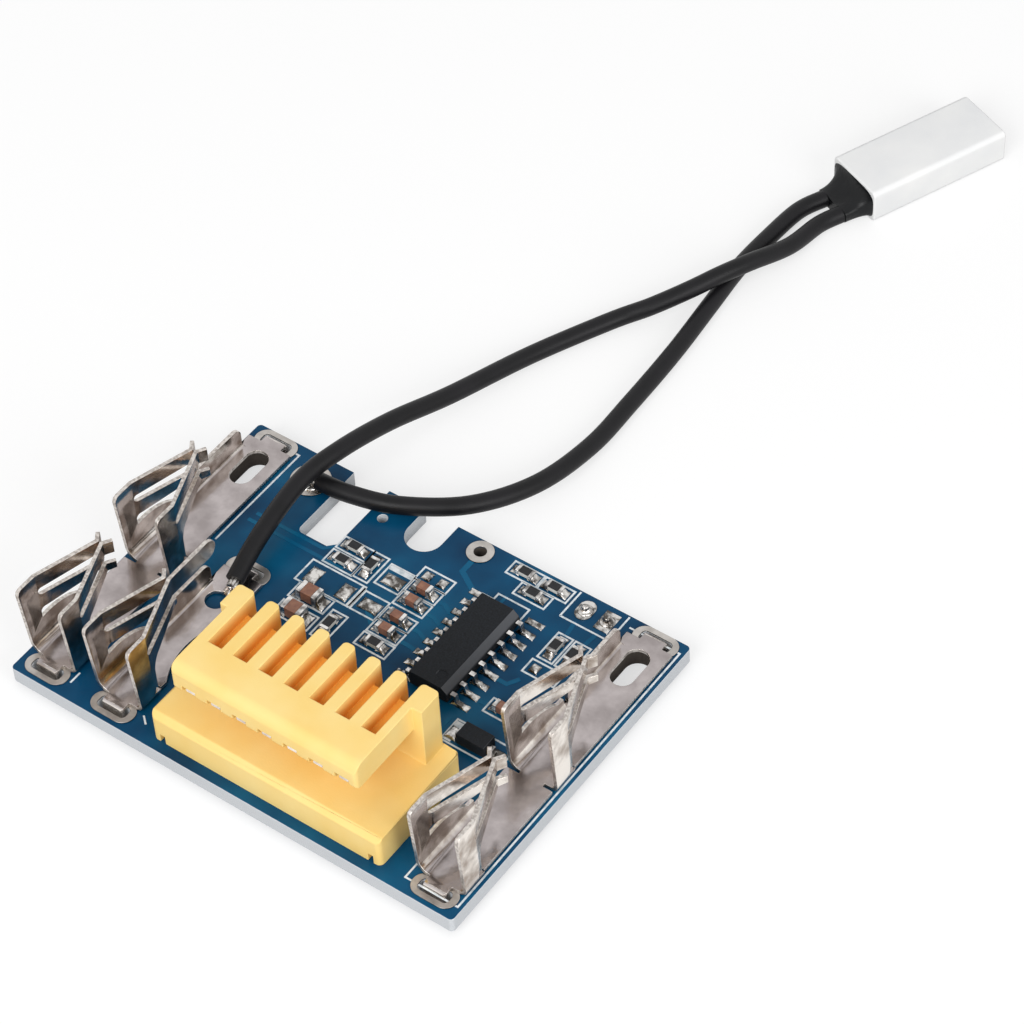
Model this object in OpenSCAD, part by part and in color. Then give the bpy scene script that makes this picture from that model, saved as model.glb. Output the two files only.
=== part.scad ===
// Battery management board: a single-sided module with three stamped blade
// terminals, a moulded seven-way connector, a controller chip with its small
// parts, and a thermal cut-out on two leads.
// Millimetres. Origin: board centre in plan, at the lowest solder tail.
// +X runs along the long edge, +Y towards the notched edge, +Z up.

/* [Piece shown] */
// Which piece to draw

/* [Board] */
// Long edge of the board
board_width = 44.4; // [42:0.2:48]
// Short edge of the board
board_depth = 32.4; // [31.6:0.2:36]
// Board thickness
board_thickness = 1.6; // [1.0:0.2:2.0]
// Solder tails below the board
solder_tail = 0.6; // [0.4:0.1:1.2]
// Rounding of the four corners
corner_radius = 0.4; // [0.2:0.1:1.2]
// Copper and solder height of every land
pad_height = 0.12; // [0.08:0.02:0.2]
// Width of the square notch in the back edge
notch_width = 3.7; // [3.0:0.1:4.2]
// Depth of the square notch
notch_depth = 7.8; // [6.0:0.2:8.4]
// Width of the round-ended notch
slot_notch_width = 3.4; // [2.6:0.1:3.8]
// Depth of the round-ended notch
slot_notch_depth = 4.1; // [3.0:0.1:4.8]
// Small locating hole
locating_hole = 0.9; // [0.6:0.1:1.2]
// Plated ring: outside
ring_diameter = 2.4; // [2.0:0.1:2.8]
// Plated ring: bore
ring_bore = 1.1; // [0.8:0.1:1.4]

/* [Terminals] */
// Sheet thickness
sheet = 0.35; // [0.3:0.05:0.5]
// Width over the two side plates
clip_width = 4.8; // [4.4:0.1:5.2]
// Top of the side plates above the board
clip_height = 7.85; // [7.2:0.05:8.6]
// Rise of the top edge towards the tips
tip_rise = 0.3; // [0:0.05:0.6]
// Gap left between the two fingers
finger_gap = 0.1; // [0.06:0.02:0.4]
// Flat length of each side plate
plate_length = 2.1; // [1.9:0.1:2.5]
// Length of each inward arm
arm_length = 5.6; // [5.0:0.1:6.0]
// Length of the flared tips
tip_length = 1.0; // [0.8:0.1:1.4]
// Spread of the flared tips
tip_angle = 35; // [25:1:45]
// Distance between the two finger pairs
pair_pitch = 12; // [11.4:0.1:12.6]
// Height of the finger split above the board
split_height = 5.9; // [5.6:0.1:6.2]
// Width of the finger split at the plate
split_width = 0.75; // [0.5:0.05:0.9]
// Inside radius of the bends
bend_radius = 0.3; // [0.2:0.05:0.5]
// Inside radius of the wide bend at the foot of the left fingers and lips
foot_radius = 0.9; // [0.4:0.1:1.1]
// Height of the rear stiffening wall
wall_height = 2.1; // [1.4:0.1:2.6]
// Side clearance of a tab in its slot
tab_clearance = 0.3; // [0.2:0.05:0.4]
// Straight rear leaf of the charge terminal
leaf_length = 5.6; // [4.0:0.1:6.0]

/* [Connector] */
// Base length
base_length = 22.7; // [22.1:0.1:23.3]
// Base depth
base_depth = 10.5; // [9.9:0.1:11]
// Base height
base_height = 3.2; // [2.6:0.1:3.6]
// Top of the comb above the board
comb_height = 9.6; // [8.6:0.1:10.4]
// Underside of the comb above the board
comb_underside = 6.9; // [6.2:0.1:7.2]
// Contact pitch
contact_pitch = 2.5; // [2.3:0.1:2.6]
// Width of each comb slot
comb_slot = 1.35; // [1.0:0.05:1.5]
// Contact width
contact_width = 0.9; // [0.6:0.05:1.1]
// Contact thickness
contact_thickness = 0.3; // [0.2:0.05:0.4]

/* [Parts on the board] */
// Chip body width
chip_width = 3.9; // [3.6:0.1:4.2]
// Chip body length
chip_length = 9.9; // [9.6:0.1:10.4]
// Chip body height above its leads
chip_height = 1.5; // [1.2:0.1:1.8]
// Lead pitch
lead_pitch = 1.27; // [1.2:0.01:1.3]
// Width over the leads
lead_span = 6.0; // [5.6:0.1:6.4]
// Small part length
small_part = 1.6; // [1.4:0.1:1.8]
// Large capacitor length
large_part = 2.0; // [1.8:0.1:2.2]

/* [Leads and cut-out] */
// Wire diameter over the cover
wire_diameter = 1.6; // [1.3:0.1:1.8]
// Cut-out case length
case_length = 14.6; // [13:0.2:16]
// Cut-out case width
case_width = 6.3; // [5.6:0.1:7.2]
// Cut-out case height
case_height = 3.4; // [2.8:0.1:4.4]
// Length of the resin flare at the leads
resin_length = 2.3; // [1.6:0.1:3.0]
// Distance of each lead from the middle of the case
lead_offset = 1.25; // [1.0:0.05:1.8]

/* [Hidden] */
$fn = 48;
e = 0.01;

tin = "#b9b4ad";
nickel = "#b3aaa1";
yellow = "#fbd06a";
black = "#1d1f22";

// Plan positions, measured from the front left corner of the board
left_x = 2.7;
charge_x = 9.65;
right_x = board_width - 2.7;
front_tab_y = 1.5;
back_tab_y = board_depth - 1.15;
charge_tab_y = 18.7;
land_length = 4.2;
land_width = 2.2;
tab_width = 2.1;
tab_slot_length = tab_width + 2*tab_clearance + 0.2;
tab_slot_width = sheet + 2*tab_clearance + 0.2;
notch_x = 12.05;
slot_notch_x = 19.4;
ring_at = [24.3, board_depth - 1.3];
locating_at = [15.3, board_depth - 2.8];
wire_hole_at = [7.7, board_depth - 2.8];
wire_hole = 1.2;
connector_x = board_width/2 + 3.4;
connector_y = 0.95;
contact_y = connector_y + 9.2;
middle = [board_width/2, board_depth/2];
chip_at = middle + [7.54, 5.4];
diode_at = [right_x - 5.75, middle[1] - 1.6];
thermistor_at = [right_x - 5.475, board_depth - 1.65];
thermistor_pitch = 2.15;

// Sheet levels above the board top
sheet_z = pad_height;
sheet_top = sheet_z + sheet;
half_clip = clip_width/2;
arm_angle = atan((half_clip - sheet - finger_gap/2)/arm_length);
root_start = 0.5;
root_end = 2.9;
lip_root_end = 2.1;
lip_end = 7.6;
lip_height = 2.95;
clip_end = plate_length + arm_length + tip_length*cos(tip_angle);
prong_height = 1.5;
split_rise = 0.5;
strip_right = half_clip - 0.3;
tab_hole = [2.1, 4.1];
tab_hole_y = back_tab_y - 3.65;

function wire_r() = wire_diameter/2;

module on_board() {
    translate([-board_width/2, -board_depth/2, solder_tail + board_thickness]) children();
}

// ---------- small helpers ----------
module obround(length, width) {
    square([length - width, width], center = true);
    for (s = [-1, 1]) translate([s*(length - width)/2, 0]) circle(d = width);
}

module rounded(size, r) {
    square([size[0] - 2*r, size[1]], center = true);
    square([size[0], size[1] - 2*r], center = true);
    for (x = [-1, 1], y = [-1, 1]) translate([x*(size[0]/2 - r), y*(size[1]/2 - r)]) circle(r);
}

// Corner of a bent sheet: quarter ring from flat (towards +x) to upright
module bend_profile(inside = bend_radius) {
    r = inside + sheet;
    translate([r, r]) intersection() {
        difference() { circle(r); circle(inside); }
        translate([-r, -r]) square(r);
    }
}

module along_y(y0, length) {
    translate([0, y0 + length, 0]) rotate([90, 0, 0]) linear_extrude(length) children();
}

// A profile drawn in Y and Z, given thickness along X from x0
module along_x(x0, thickness) {
    translate([x0, 0, 0]) rotate([90, 0, 90]) linear_extrude(thickness) children();
}

// ---------- circuit board ----------
module tab_slot_at(x, y) {
    translate([x, y, -board_thickness - e]) linear_extrude(board_thickness + 2*e)
        rounded([tab_slot_length, tab_slot_width], 0.4);
}

module bore_at(p, d) {
    translate([p[0], p[1], -board_thickness - e]) cylinder(d = d, h = board_thickness + 2*e);
}

module circuit_board() {
    color("#16537f") on_board() difference() {
        translate([board_width/2, board_depth/2, -board_thickness]) linear_extrude(board_thickness)
            rounded([board_width, board_depth], corner_radius);
        // square notch with eased inner corners
        translate([notch_x, board_depth - notch_depth/2 + 1, -board_thickness - e])
            linear_extrude(board_thickness + 2*e) rounded([notch_width, notch_depth + 2], 0.5);
        // round-ended notch
        translate([slot_notch_x, board_depth, -board_thickness - e])
            linear_extrude(board_thickness + 2*e) {
                translate([0, slot_notch_width/2 - slot_notch_depth]) circle(d = slot_notch_width);
                translate([-slot_notch_width/2, slot_notch_width/2 - slot_notch_depth])
                    square([slot_notch_width, slot_notch_depth + 1]);
            }
        bore_at(locating_at, locating_hole);
        bore_at(ring_at, ring_bore);
        bore_at(wire_hole_at, wire_hole);
        for (x = [left_x, charge_x, right_x]) tab_slot_at(x, front_tab_y);
        for (x = [left_x, right_x]) tab_slot_at(x, back_tab_y);
        tab_slot_at(charge_x, charge_tab_y);
        // long openings below the slots of the power terminals
        for (x = [left_x, right_x]) translate([x, tab_hole_y, -board_thickness - e])
            linear_extrude(board_thickness + 2*e) rotate(90) obround(tab_hole[1] + 0.4, tab_hole[0] + 0.3);
        for (k = [-3:3])
            bore_at([connector_x + k*contact_pitch + contact_shift, contact_y], contact_width + 0.3);
    }
}

module land_at(x, y) {
    translate([x, y]) linear_extrude(pad_height) difference() {
        obround(land_length, land_width);
        rounded([tab_slot_length, tab_slot_width], 0.4);
    }
}

module board_pads() {
    color(tin) on_board() {
        for (x = [left_x, charge_x, right_x]) land_at(x, front_tab_y);
        for (x = [left_x, right_x]) land_at(x, back_tab_y - 0.05);
        land_at(charge_x, charge_tab_y);
        translate([wire_hole_at[0], wire_hole_at[1], 0]) difference() {
            cylinder(d = 3*wire_hole, h = pad_height);
            translate([0, 0, -1]) cylinder(d = wire_hole, h = 2);
        }
    }
}

// Plated ring: one land on each face round the open bore
module ring_pads() {
    color("#a8a7a5") on_board() for (z = [0, -board_thickness - pad_height])
        translate([ring_at[0], ring_at[1], z]) difference() {
            cylinder(d = ring_diameter, h = pad_height);
            translate([0, 0, -1]) cylinder(d = ring_bore, h = 2);
        }
}

// ---------- stamped terminals ----------
function mitre(p, a, b) = p + sheet/cos((b - a)/2)*[-cos((a + b)/2), sin((a + b)/2)];

// Plan of the left finger: plate, arm and flared tip as one bent sheet
module finger_plan(tip, angle) {
    p0 = [-half_clip + sheet, 0];
    p1 = [-half_clip + sheet, plate_length];
    p2 = [-finger_gap/2, plate_length + arm_length];
    p3 = p2 + tip*[-sin(angle), cos(angle)];
    polygon([p0, p1, p2, p3, mitre(p3, -angle, -angle), mitre(p2, arm_angle, -angle),
        mitre(p1, 0, arm_angle), mitre(p0, 0, 0)]);
}

// Side view of the finger: slanted front edge, two prongs parted by a split, open arch below.
// The split rises and widens towards the tips when flare is 1 and runs level when it is 0.
module finger_profile(reach, flare, root, arch, inside = bend_radius) {
    low = split_height - split_width/2 - prong_height;
    z0 = sheet_z + sheet + inside;
    top = clip_height + tip_rise;
    far = split_height + flare*split_rise;
    half_far = (split_width + flare*0.45)/2;
    difference() {
        polygon([[root_start, z0], [0, clip_height - 0.5], [0.15, clip_height - 0.12], [0.45, clip_height],
            [plate_length, clip_height], [clip_end, top], [reach, top], [reach, low + 2*split_rise],
            [clip_end, low + 2*split_rise], [root + arch, low], [root + arch, low - arch],
            [root, low - arch], [root, z0]]);
        translate([root + arch, low - arch]) circle(arch);
        translate([plate_length + 0.4, split_height]) circle(d = split_width);
        polygon([[plate_length + 0.4, split_height - split_width/2], [reach + 1, far - half_far],
            [reach + 1, far + half_far], [plate_length + 0.4, split_height + split_width/2]]);
    }
}

// Bend at the foot of a finger, and the flat that joins it to the strip
module finger_root(y, length, inside = bend_radius) {
    translate([-half_clip, 0, sheet_z]) along_y(y + root_start, length) {
        bend_profile(inside);
        translate([inside + sheet - e, 0]) square([foot_radius - inside + 2*e, sheet]);
    }
}

module finger(y, root, arch, inside = bend_radius) {
    translate([0, y, 0]) intersection() {
        linear_extrude(clip_height + 1) finger_plan(tip_length, tip_angle);
        along_x(-half_clip - 1, clip_width + 2) finger_profile(clip_end + 0.6, 1, root, arch, inside);
    }
    finger_root(y, root - root_start, inside);
}

// Low curved lip: the foot of the left side plate, cut free from its finger and left upright
module lip(y) {
    crest = root_end;
    r = 5.9;
    z0 = sheet_z + sheet + foot_radius;
    translate([0, y, 0]) along_x(-half_clip, sheet) intersection() {
        translate([crest, lip_height - r]) circle(r, $fn = 120);
        translate([root_start + 0.4, z0 - e]) square([lip_end - root_start - 0.4, lip_height]);
    }
    finger_root(y, lip_end - root_start, foot_radius);
}

module finger_pair(y) {
    finger(y, lip_root_end, 0.5, foot_radius);
    lip(y);
    mirror([1, 0, 0]) finger(y, root_end, 1.2);
}

module tab(y, dir) {
    // neck, bend and tail of a soldered tab; dir is the way the strip runs away from it
    neck = 0.75;
    translate([-tab_width/2, 0, 0]) {
        translate([0, min(y, y + dir*neck), sheet_z]) cube([tab_width, neck, sheet]);
        translate([0, y - sheet/2, -board_thickness - solder_tail])
            cube([tab_width, sheet, board_thickness + solder_tail + sheet_top]);
    }
}

// Rear wall bent up along the left edge of a strip
module wall(left, y, length) {
    z0 = sheet_z + sheet + bend_radius;
    r = 0.8;
    along_x(left, sheet) {
        translate([y, z0]) square([length, sheet_top + wall_height - z0 - r]);
        translate([y, z0]) square([length - r, sheet_top + wall_height - z0]);
        translate([y + length - r, sheet_top + wall_height - r]) circle(r);
    }
    translate([left, 0, sheet_z]) along_y(y, length) bend_profile();
}

module power_terminal() {
    start = front_tab_y + 0.75;
    first = start + 0.05 - root_start;
    stop = back_tab_y - 0.7;
    inner = half_clip - sheet - foot_radius;
    behind = root_end + 0.3;
    difference() {
        union() {
            translate([-inner, start, sheet_z]) cube([2*inner, stop - start, sheet]);
            // right edge of the strip between and behind the roots
            for (part = [[behind, pair_pitch + 0.2], [pair_pitch + behind, stop - first]])
                translate([0, first + part[0], sheet_z]) cube([strip_right, part[1] - part[0], sheet]);
            // left edge behind the lips
            for (part = [[lip_end, pair_pitch + 0.2], [pair_pitch + lip_end, stop - first]])
                translate([-half_clip + 0.05, first + part[0], sheet_z])
                    cube([half_clip, part[1] - part[0], sheet]);
            for (k = [0, 1]) finger_pair(first + k*pair_pitch);
            wall(-half_clip, first + pair_pitch + 8.2, 7.3);
            tab(front_tab_y, 1);
            tab(back_tab_y, -1);
        }
        translate([0, tab_hole_y, sheet_z - 1]) linear_extrude(sheet + 2)
            rotate(90) obround(tab_hole[1], tab_hole[0]);
    }
}

module left_power_terminal() {
    color(nickel) on_board() translate([left_x, 0, 0]) power_terminal();
}

module right_power_terminal() {
    color(nickel) on_board() translate([right_x, 0, 0]) power_terminal();
}

// Charge terminal: one finger pair, a long straight rear leaf and a waisted base
module charge_terminal() {
    start = front_tab_y + 0.75;
    first = start + 0.05 - root_start;
    stop = charge_tab_y - 0.7;
    inner = half_clip - sheet - foot_radius;
    behind = first + root_end + 0.3;
    left = -1.95;
    waist = 6.9;
    tail = plate_length + arm_length;
    leaf_end = tail + leaf_length;
    leaf_round = 1.0;
    color(nickel) on_board() translate([charge_x, 0, 0]) difference() {
        union() {
            translate([-inner, start, sheet_z]) cube([2*inner, stop - start, sheet]);
            translate([0, behind, sheet_z]) cube([strip_right, stop - behind, sheet]);
            translate([left + 0.05, first + lip_end, sheet_z]) cube([-left, stop - first - lip_end, sheet]);
            finger(first, lip_root_end, 0.5, foot_radius);
            lip(first);
            // right finger: its lower prong stops at the contact, its upper one runs on as the leaf
            mirror([1, 0, 0]) {
                translate([0, first, 0]) intersection() {
                    linear_extrude(clip_height + 1) finger_plan(leaf_length, 0);
                    along_x(-half_clip - 1, clip_width + 2) difference() {
                        finger_profile(leaf_end, 0, root_end, 1.2);
                        translate([tail + 0.4, 0]) square([leaf_length, split_height]);
                        translate([leaf_end - leaf_round, clip_height + tip_rise - leaf_round]) difference() {
                            square(2*leaf_round);
                            circle(leaf_round);
                        }
                        translate([leaf_end - leaf_round, split_height + split_width/2 + leaf_round])
                            difference() {
                                translate([0, -2*leaf_round]) square(2*leaf_round);
                                circle(leaf_round);
                            }
                    }
                }
                finger_root(first, root_end - root_start);
            }
            wall(left, first + 8.1, 6.2);
            tab(front_tab_y, 1);
            tab(charge_tab_y, -1);
        }
        translate([half_clip - 1.4 + waist, 9.4, sheet_z - 1]) cylinder(r = waist, h = sheet + 1.2, $fn = 96);
        translate([0, 14.6, sheet_z - 1]) cylinder(d = 1.9, h = sheet + 2);
    }
}

// ---------- connector ----------
comb_front = 0.9;
column_depth = 2.45;
column_wall = 1.2;
channel_height = 0.8;
slot_floor = 0.3;
comb_shift = -0.125;
nose = 1.1;
comb_corner = 0.4;
rib_nose = 0.5;
contact_top = comb_underside + channel_height;
contact_shift = (comb_slot - contact_width)/2;

// Comb seen from above, its two front corners rounded
module comb_plan(width, front, back, r) {
    translate([-width/2, front + r]) square([width, back - front - r]);
    translate([-width/2 + r, front]) square([width - 2*r, r + e]);
    for (s = [-1, 1]) translate([s*(width/2 - r), front + r]) circle(r);
}

// Comb seen from the side, its top front edge and the foot of its front edge rounded
module comb_side(front, back) {
    foot = comb_underside + rib_nose;
    translate([front, foot]) square([back - front, comb_height - nose - foot]);
    translate([front + nose, foot]) square([back - front - nose, comb_height - foot]);
    translate([front + rib_nose, comb_underside]) square([back - front - rib_nose, rib_nose + e]);
    translate([front + nose, comb_height - nose]) circle(nose);
    translate([front + rib_nose, foot]) circle(rib_nose);
}

module connector_housing() {
    half = base_length/2;
    outer = 7*contact_pitch + 2.25;
    body = 7*contact_pitch + 0.65;
    column_front = base_depth - column_depth;
    slot_front = 4.5;
    leg = contact_y - connector_y;
    end_width = (outer - 6*contact_pitch - comb_slot)/2;
    color(yellow) on_board() translate([connector_x, connector_y, 0]) difference() {
        union() {
            // base with eased corners
            translate([0, base_depth/2, 0]) linear_extrude(base_height) rounded([base_length, base_depth], 0.5);
            // rear wall that carries the comb, its columns standing out behind
            translate([-outer/2, column_front, 0]) cube([outer, column_wall, comb_height]);
            for (k = [-2.5:2.5]) translate([k*contact_pitch, base_depth - column_depth/2, 0])
                linear_extrude(comb_height) rounded([contact_pitch - comb_slot, column_depth], 0.4);
            for (s = [-1, 1]) translate([s*(outer - end_width)/2, base_depth - column_depth/2, 0])
                linear_extrude(comb_height) rounded([end_width, column_depth], 0.4);
            // comb, overhanging the base at the front
            intersection() {
                linear_extrude(comb_height) translate([comb_shift, 0])
                    comb_plan(body, comb_front, column_front + e, comb_corner);
                along_x(-outer/2, outer) comb_side(comb_front, column_front + e);
            }
        }
        for (k = [-3:3]) translate([k*contact_pitch, 0, 0]) {
            // comb slot, open at the top
            translate([-comb_slot/2, slot_front, contact_top + slot_floor])
                cube([comb_slot, base_depth, comb_height]);
            // channel below the front edge of the comb
            translate([-comb_slot/2, comb_front - e, comb_underside - e])
                cube([comb_slot, 1.5 + e, channel_height + e]);
            // seat of the contact and of its leg
            translate([contact_shift - contact_width/2, comb_front, contact_top - contact_thickness])
                cube([contact_width, leg - comb_front + contact_thickness/2, contact_thickness]);
            translate([contact_shift - contact_width/2, leg - contact_thickness/2, -e])
                cube([contact_width, contact_thickness, contact_top + e]);
        }
        // shallow relief at both ends of the front foot
        for (s = [-1, 1]) translate([s*(half - 1.0) - 0.25, -e, -e]) cube([0.5, 0.5, 0.9]);
        // top edge of the front foot
        translate([-half - 1, 0, base_height]) rotate([45, 0, 0]) translate([0, -0.35, -0.35])
            cube([base_length + 2, 0.7, 0.7]);
    }
}

module connector_contacts() {
    color("#d8cfc4") on_board() for (k = [-3:3])
        translate([connector_x + k*contact_pitch + contact_shift - contact_width/2, 0, 0]) {
            translate([0, connector_y + comb_front, contact_top - contact_thickness])
                cube([contact_width, contact_y - connector_y - comb_front, contact_thickness]);
            translate([0, contact_y - contact_thickness/2, -board_thickness - solder_tail])
                cube([contact_width, contact_thickness, contact_top + board_thickness + solder_tail]);
        }
}

// ---------- controller chip ----------
module controller_chip() {
    foot = 0.1 + pad_height;
    w = chip_width/2;
    h = chip_height;
    color(black) on_board() translate([chip_at[0], chip_at[1], foot]) difference() {
        translate([0, chip_length/2, 0]) rotate([90, 0, 0]) linear_extrude(chip_length)
            polygon([[-w + 0.1, 0], [w - 0.1, 0], [w, h*0.45], [w - 0.15, h*0.7], [w - 0.65, h],
                [-w + 0.12, h], [-w, h*0.55]]);
        translate([w - 1.4, -chip_length/2 + 1.2, h - 0.08]) cylinder(d = 0.9, h = 1);
    }
}

module lead_rows() {
    for (s = [-1, 1], k = [-3.5:3.5]) translate([chip_at[0], chip_at[1] + k*lead_pitch, 0])
        scale([s, 1, 1]) children();
}

module chip_leads() {
    lead = 0.2;
    wide = 0.42;
    knee = 0.1 + chip_height*0.45 + pad_height;
    x0 = chip_width/2;
    x1 = lead_span/2;
    color(tin) on_board() lead_rows() along_y(-wide/2, wide)
        polygon([[x0, knee], [x0 + 0.35, knee], [x0 + 0.5, pad_height], [x1, pad_height],
            [x1, pad_height + lead], [x0 + 0.68, pad_height + lead], [x0 + 0.53, knee + lead],
            [x0, knee + lead]]);
}

module chip_solder() {
    x1 = lead_span/2;
    color(tin) on_board() {
        lead_rows() {
            translate([x1 - 1.0, -0.3, 0]) cube([1.65, 0.6, pad_height]);
            along_y(-0.25, 0.5)
                polygon([[x1, pad_height - e], [x1 + 0.5, pad_height - e], [x1, pad_height + 0.2]]);
        }
        for (s = [-1, 1]) translate([chip_at[0] + s*(x1 - 0.175), chip_at[1] + 4.5*lead_pitch, pad_height/2])
            cube([1.65, 0.6, pad_height], center = true);
    }
}

// ---------- diode ----------
module diode_body() {
    color(black) on_board() translate([diode_at[0], diode_at[1], pad_height + 0.1])
        linear_extrude(1.15) square([2.7, 1.6], center = true);
}

module diode_leads() {
    color(tin) on_board() for (s = [-1, 1]) translate([diode_at[0], diode_at[1], 0]) {
        scale([s, 1, 1]) translate([0, 0.35, 0]) rotate([90, 0, 0]) linear_extrude(0.7)
            polygon([[1.35, 0.6], [1.6, 0.6], [1.6, pad_height], [1.85, pad_height],
                [1.85, pad_height + 0.15], [1.75, pad_height + 0.15], [1.75, 0.75], [1.35, 0.75]]);
    }
}

// ---------- small two-ended parts ----------
// Each place is [x from the left edge, y from the middle of the board, turn]. The parts behind the
// chip keep to the back edge, and those at the right keep to the right terminal.
behind_x = chip_at[0];
behind_y = board_depth - middle[1];
column_x = 23.05;
resistor_places = [[15.5, 9.4, 0], [15.5, 7.7, 0], [17.8, 8.55, 90], [18.75, 1.7, 90], [column_x, 2.1, 0],
    [behind_x - 0.89, behind_y - 1.2, 0], [behind_x + 2.06, behind_y - 1.2, 0],
    [behind_x + 0.91, behind_y - 2.7, 0], [right_x - 6.3, 10, 90], [right_x - 4.6, 10, 90]];
small_capacitor_places = [[column_x, 8.8, 0], [column_x, 7.25, 0], [column_x, 5.2, 0], [column_x, 3.65, 0],
    [right_x - 5.9, 2.3, 0]];
large_capacitor_places = [[15.75, 3.1, 0], [15.75, 1, 0]];
diode_places = [[diode_at[0], diode_at[1] - middle[1], 0]];
// Lands with no part fitted
spare_pair_places = [[column_x, 10.35, 0], [right_x - 5.65, 7.3, 0]];
upright_spare_places = [[14.45, 5.2, 0], [17.7, 5.2, 0]];
level_spare_places = [[20.3, 8.3, 0], [20.3, 5.15, 0]];

module at_places(places) {
    for (p = places) on_board() translate([p[0], middle[1] + p[1], pad_height]) rotate(p[2]) children();
}

module part_body(length, width, height, cap) {
    translate([-length/2 + cap, -width/2, 0.02]) cube([length - 2*cap, width, height - 0.04]);
}

module part_ends(length, width, height, cap) {
    for (s = [-1, 1]) translate([s*(length - cap)/2, 0, height/2])
        cube([cap, width + 0.04, height], center = true);
}

module part_solder(length, width, reach, rise) {
    for (s = [-1, 1]) scale([s, 1, 1]) {
        translate([length/2 - 0.4, -width/2 - 0.05, -pad_height])
            cube([0.4 + reach, width + 0.1, pad_height]);
        along_y(-width/2, width) polygon([[length/2, -e], [length/2 + reach - 0.1, -e],
            [length/2 + 0.35*reach, 0.3*rise], [length/2, rise]]);
    }
}

module resistor_bodies() {
    color(black) at_places(resistor_places) part_body(small_part, 0.8, 0.45, 0.3);
}

module resistor_ends() {
    color(tin) at_places(resistor_places) part_ends(small_part, 0.8, 0.45, 0.3);
}

module small_capacitor_bodies() {
    color("#8a5e48") at_places(small_capacitor_places) part_body(small_part, 0.8, 0.8, 0.35);
}

module small_capacitor_ends() {
    color(tin) at_places(small_capacitor_places) part_ends(small_part, 0.8, 0.8, 0.35);
}

module large_capacitor_bodies() {
    color("#8a5e48") at_places(large_capacitor_places) part_body(large_part, 1.25, 1.1, 0.45);
}

module large_capacitor_ends() {
    color(tin) at_places(large_capacitor_places) part_ends(large_part, 1.25, 1.1, 0.45);
}

module component_solder() {
    color(tin) {
        at_places(resistor_places) part_solder(small_part, 0.8, 0.5, 0.35);
        at_places(small_capacitor_places) part_solder(small_part, 0.8, 0.5, 0.55);
        at_places(large_capacitor_places) part_solder(large_part, 1.25, 0.6, 0.7);
        at_places(diode_places) for (s = [-1, 1]) translate([s*2.15, 0, -pad_height/2])
            cube([1.1, 1.3, pad_height], center = true);
    }
}

// Tinned lands with no part fitted: a low pillow on each
module pillow(w, d, h) {
    translate([0, 0, -pad_height]) linear_extrude(pad_height) square([w, d], center = true);
    translate([0, 0, -e]) hull() {
        linear_extrude(e) square([w - 0.1, d - 0.1], center = true);
        translate([0, 0, h]) linear_extrude(e) square([w*0.45, d*0.45], center = true);
    }
}

module spare_solder() {
    color(tin) {
        at_places(spare_pair_places) for (s = [-1, 1]) translate([s*0.75, 0, 0]) pillow(0.85, 0.9, 0.18);
        at_places(upright_spare_places) pillow(1.2, 1.7, 0.22);
        at_places(level_spare_places) pillow(1.9, 1.2, 0.22);
    }
}

module thermistor_joints() {
    color(tin) on_board() {
        for (s = [-1, 1]) translate([thermistor_at[0] + s*thermistor_pitch/2, thermistor_at[1], 0]) {
            linear_extrude(pad_height)
                if (s < 0) rotate(90) obround(2.1, 1.5); else square([1.4, 2.1], center = true);
            translate([0, 0, pad_height - e]) cylinder(d1 = 1.35, d2 = 0.5, h = 0.55);
        }
    }
}

// ---------- leads and thermal cut-out ----------
// Lowest level and the level of a wire lying on the bench, from the board top
floor_z = -board_thickness - solder_tail;
rest_z = floor_z + wire_r();

// Case: middle of its lead end in plan, and the way it points
case_turn = 67.6;
case_at = [26.35, 85.2];
case_dir = [cos(case_turn), sin(case_turn)];
case_side = [sin(case_turn), -cos(case_turn)];

function flat(p, z) = [p[0], p[1], z];
function lead_at(back, side) = flat(case_at - back*case_dir + side*lead_offset*case_side, rest_z);

// Route points of the wires, board coordinates
charge_start = [10.2, 16.5, 1.45];
board_start = [8.9, 29.3, 0.95];
charge_route = [charge_start, [9.5, 21, 2.5], [8.95, 27, 3.1], [9.5, 31.5, 3.1], [10.3, 37.4, 1.9],
    [11.8, 43.8, 0.4], [13.9, 52.5, -1.0], [17.2, 59.9, -1.2], [19.5, 62.9, -0.6], [21.5, 66, 0],
    [22.9, 68.8, 0.3], [24.1, 71.8, 0.1], [25.3, 76.2, -0.9], lead_at(resin_length + 2.4, 1),
    lead_at(resin_length, 1)];
board_route = [board_start, [12, 29.6, 0.95], [16.2, 30.9, 0.95], [20.9, 34.4, 0.7], [23.6, 40, -0.2],
    [24.4, 46.7, -1.1], [24.2, 53, rest_z], [23.9, 60, rest_z], [23.3, 66.5, rest_z], [22.8, 72, rest_z],
    [22.9, 77, rest_z], lead_at(resin_length + 2.8, -1), lead_at(resin_length, -1)];

// Smooth curve through the route points
function blend(a, b, c, d, t) =
    0.5*((2*b) + (c - a)*t + (2*a - 5*b + 4*c - d)*t*t + (3*b - a - 3*c + d)*t*t*t);
function at_route(r, i) = r[max(0, min(len(r) - 1, i))];
function curve(r, n) = [for (i = [0:len(r) - 2], k = [0:n - 1])
    blend(at_route(r, i - 1), r[i], r[i + 1], at_route(r, i + 2), k/n), r[len(r) - 1]];
function unit(v) = v/norm(v);
function heading(c, i) = unit(at_route(c, i + 1) - at_route(c, i - 1));

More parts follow.
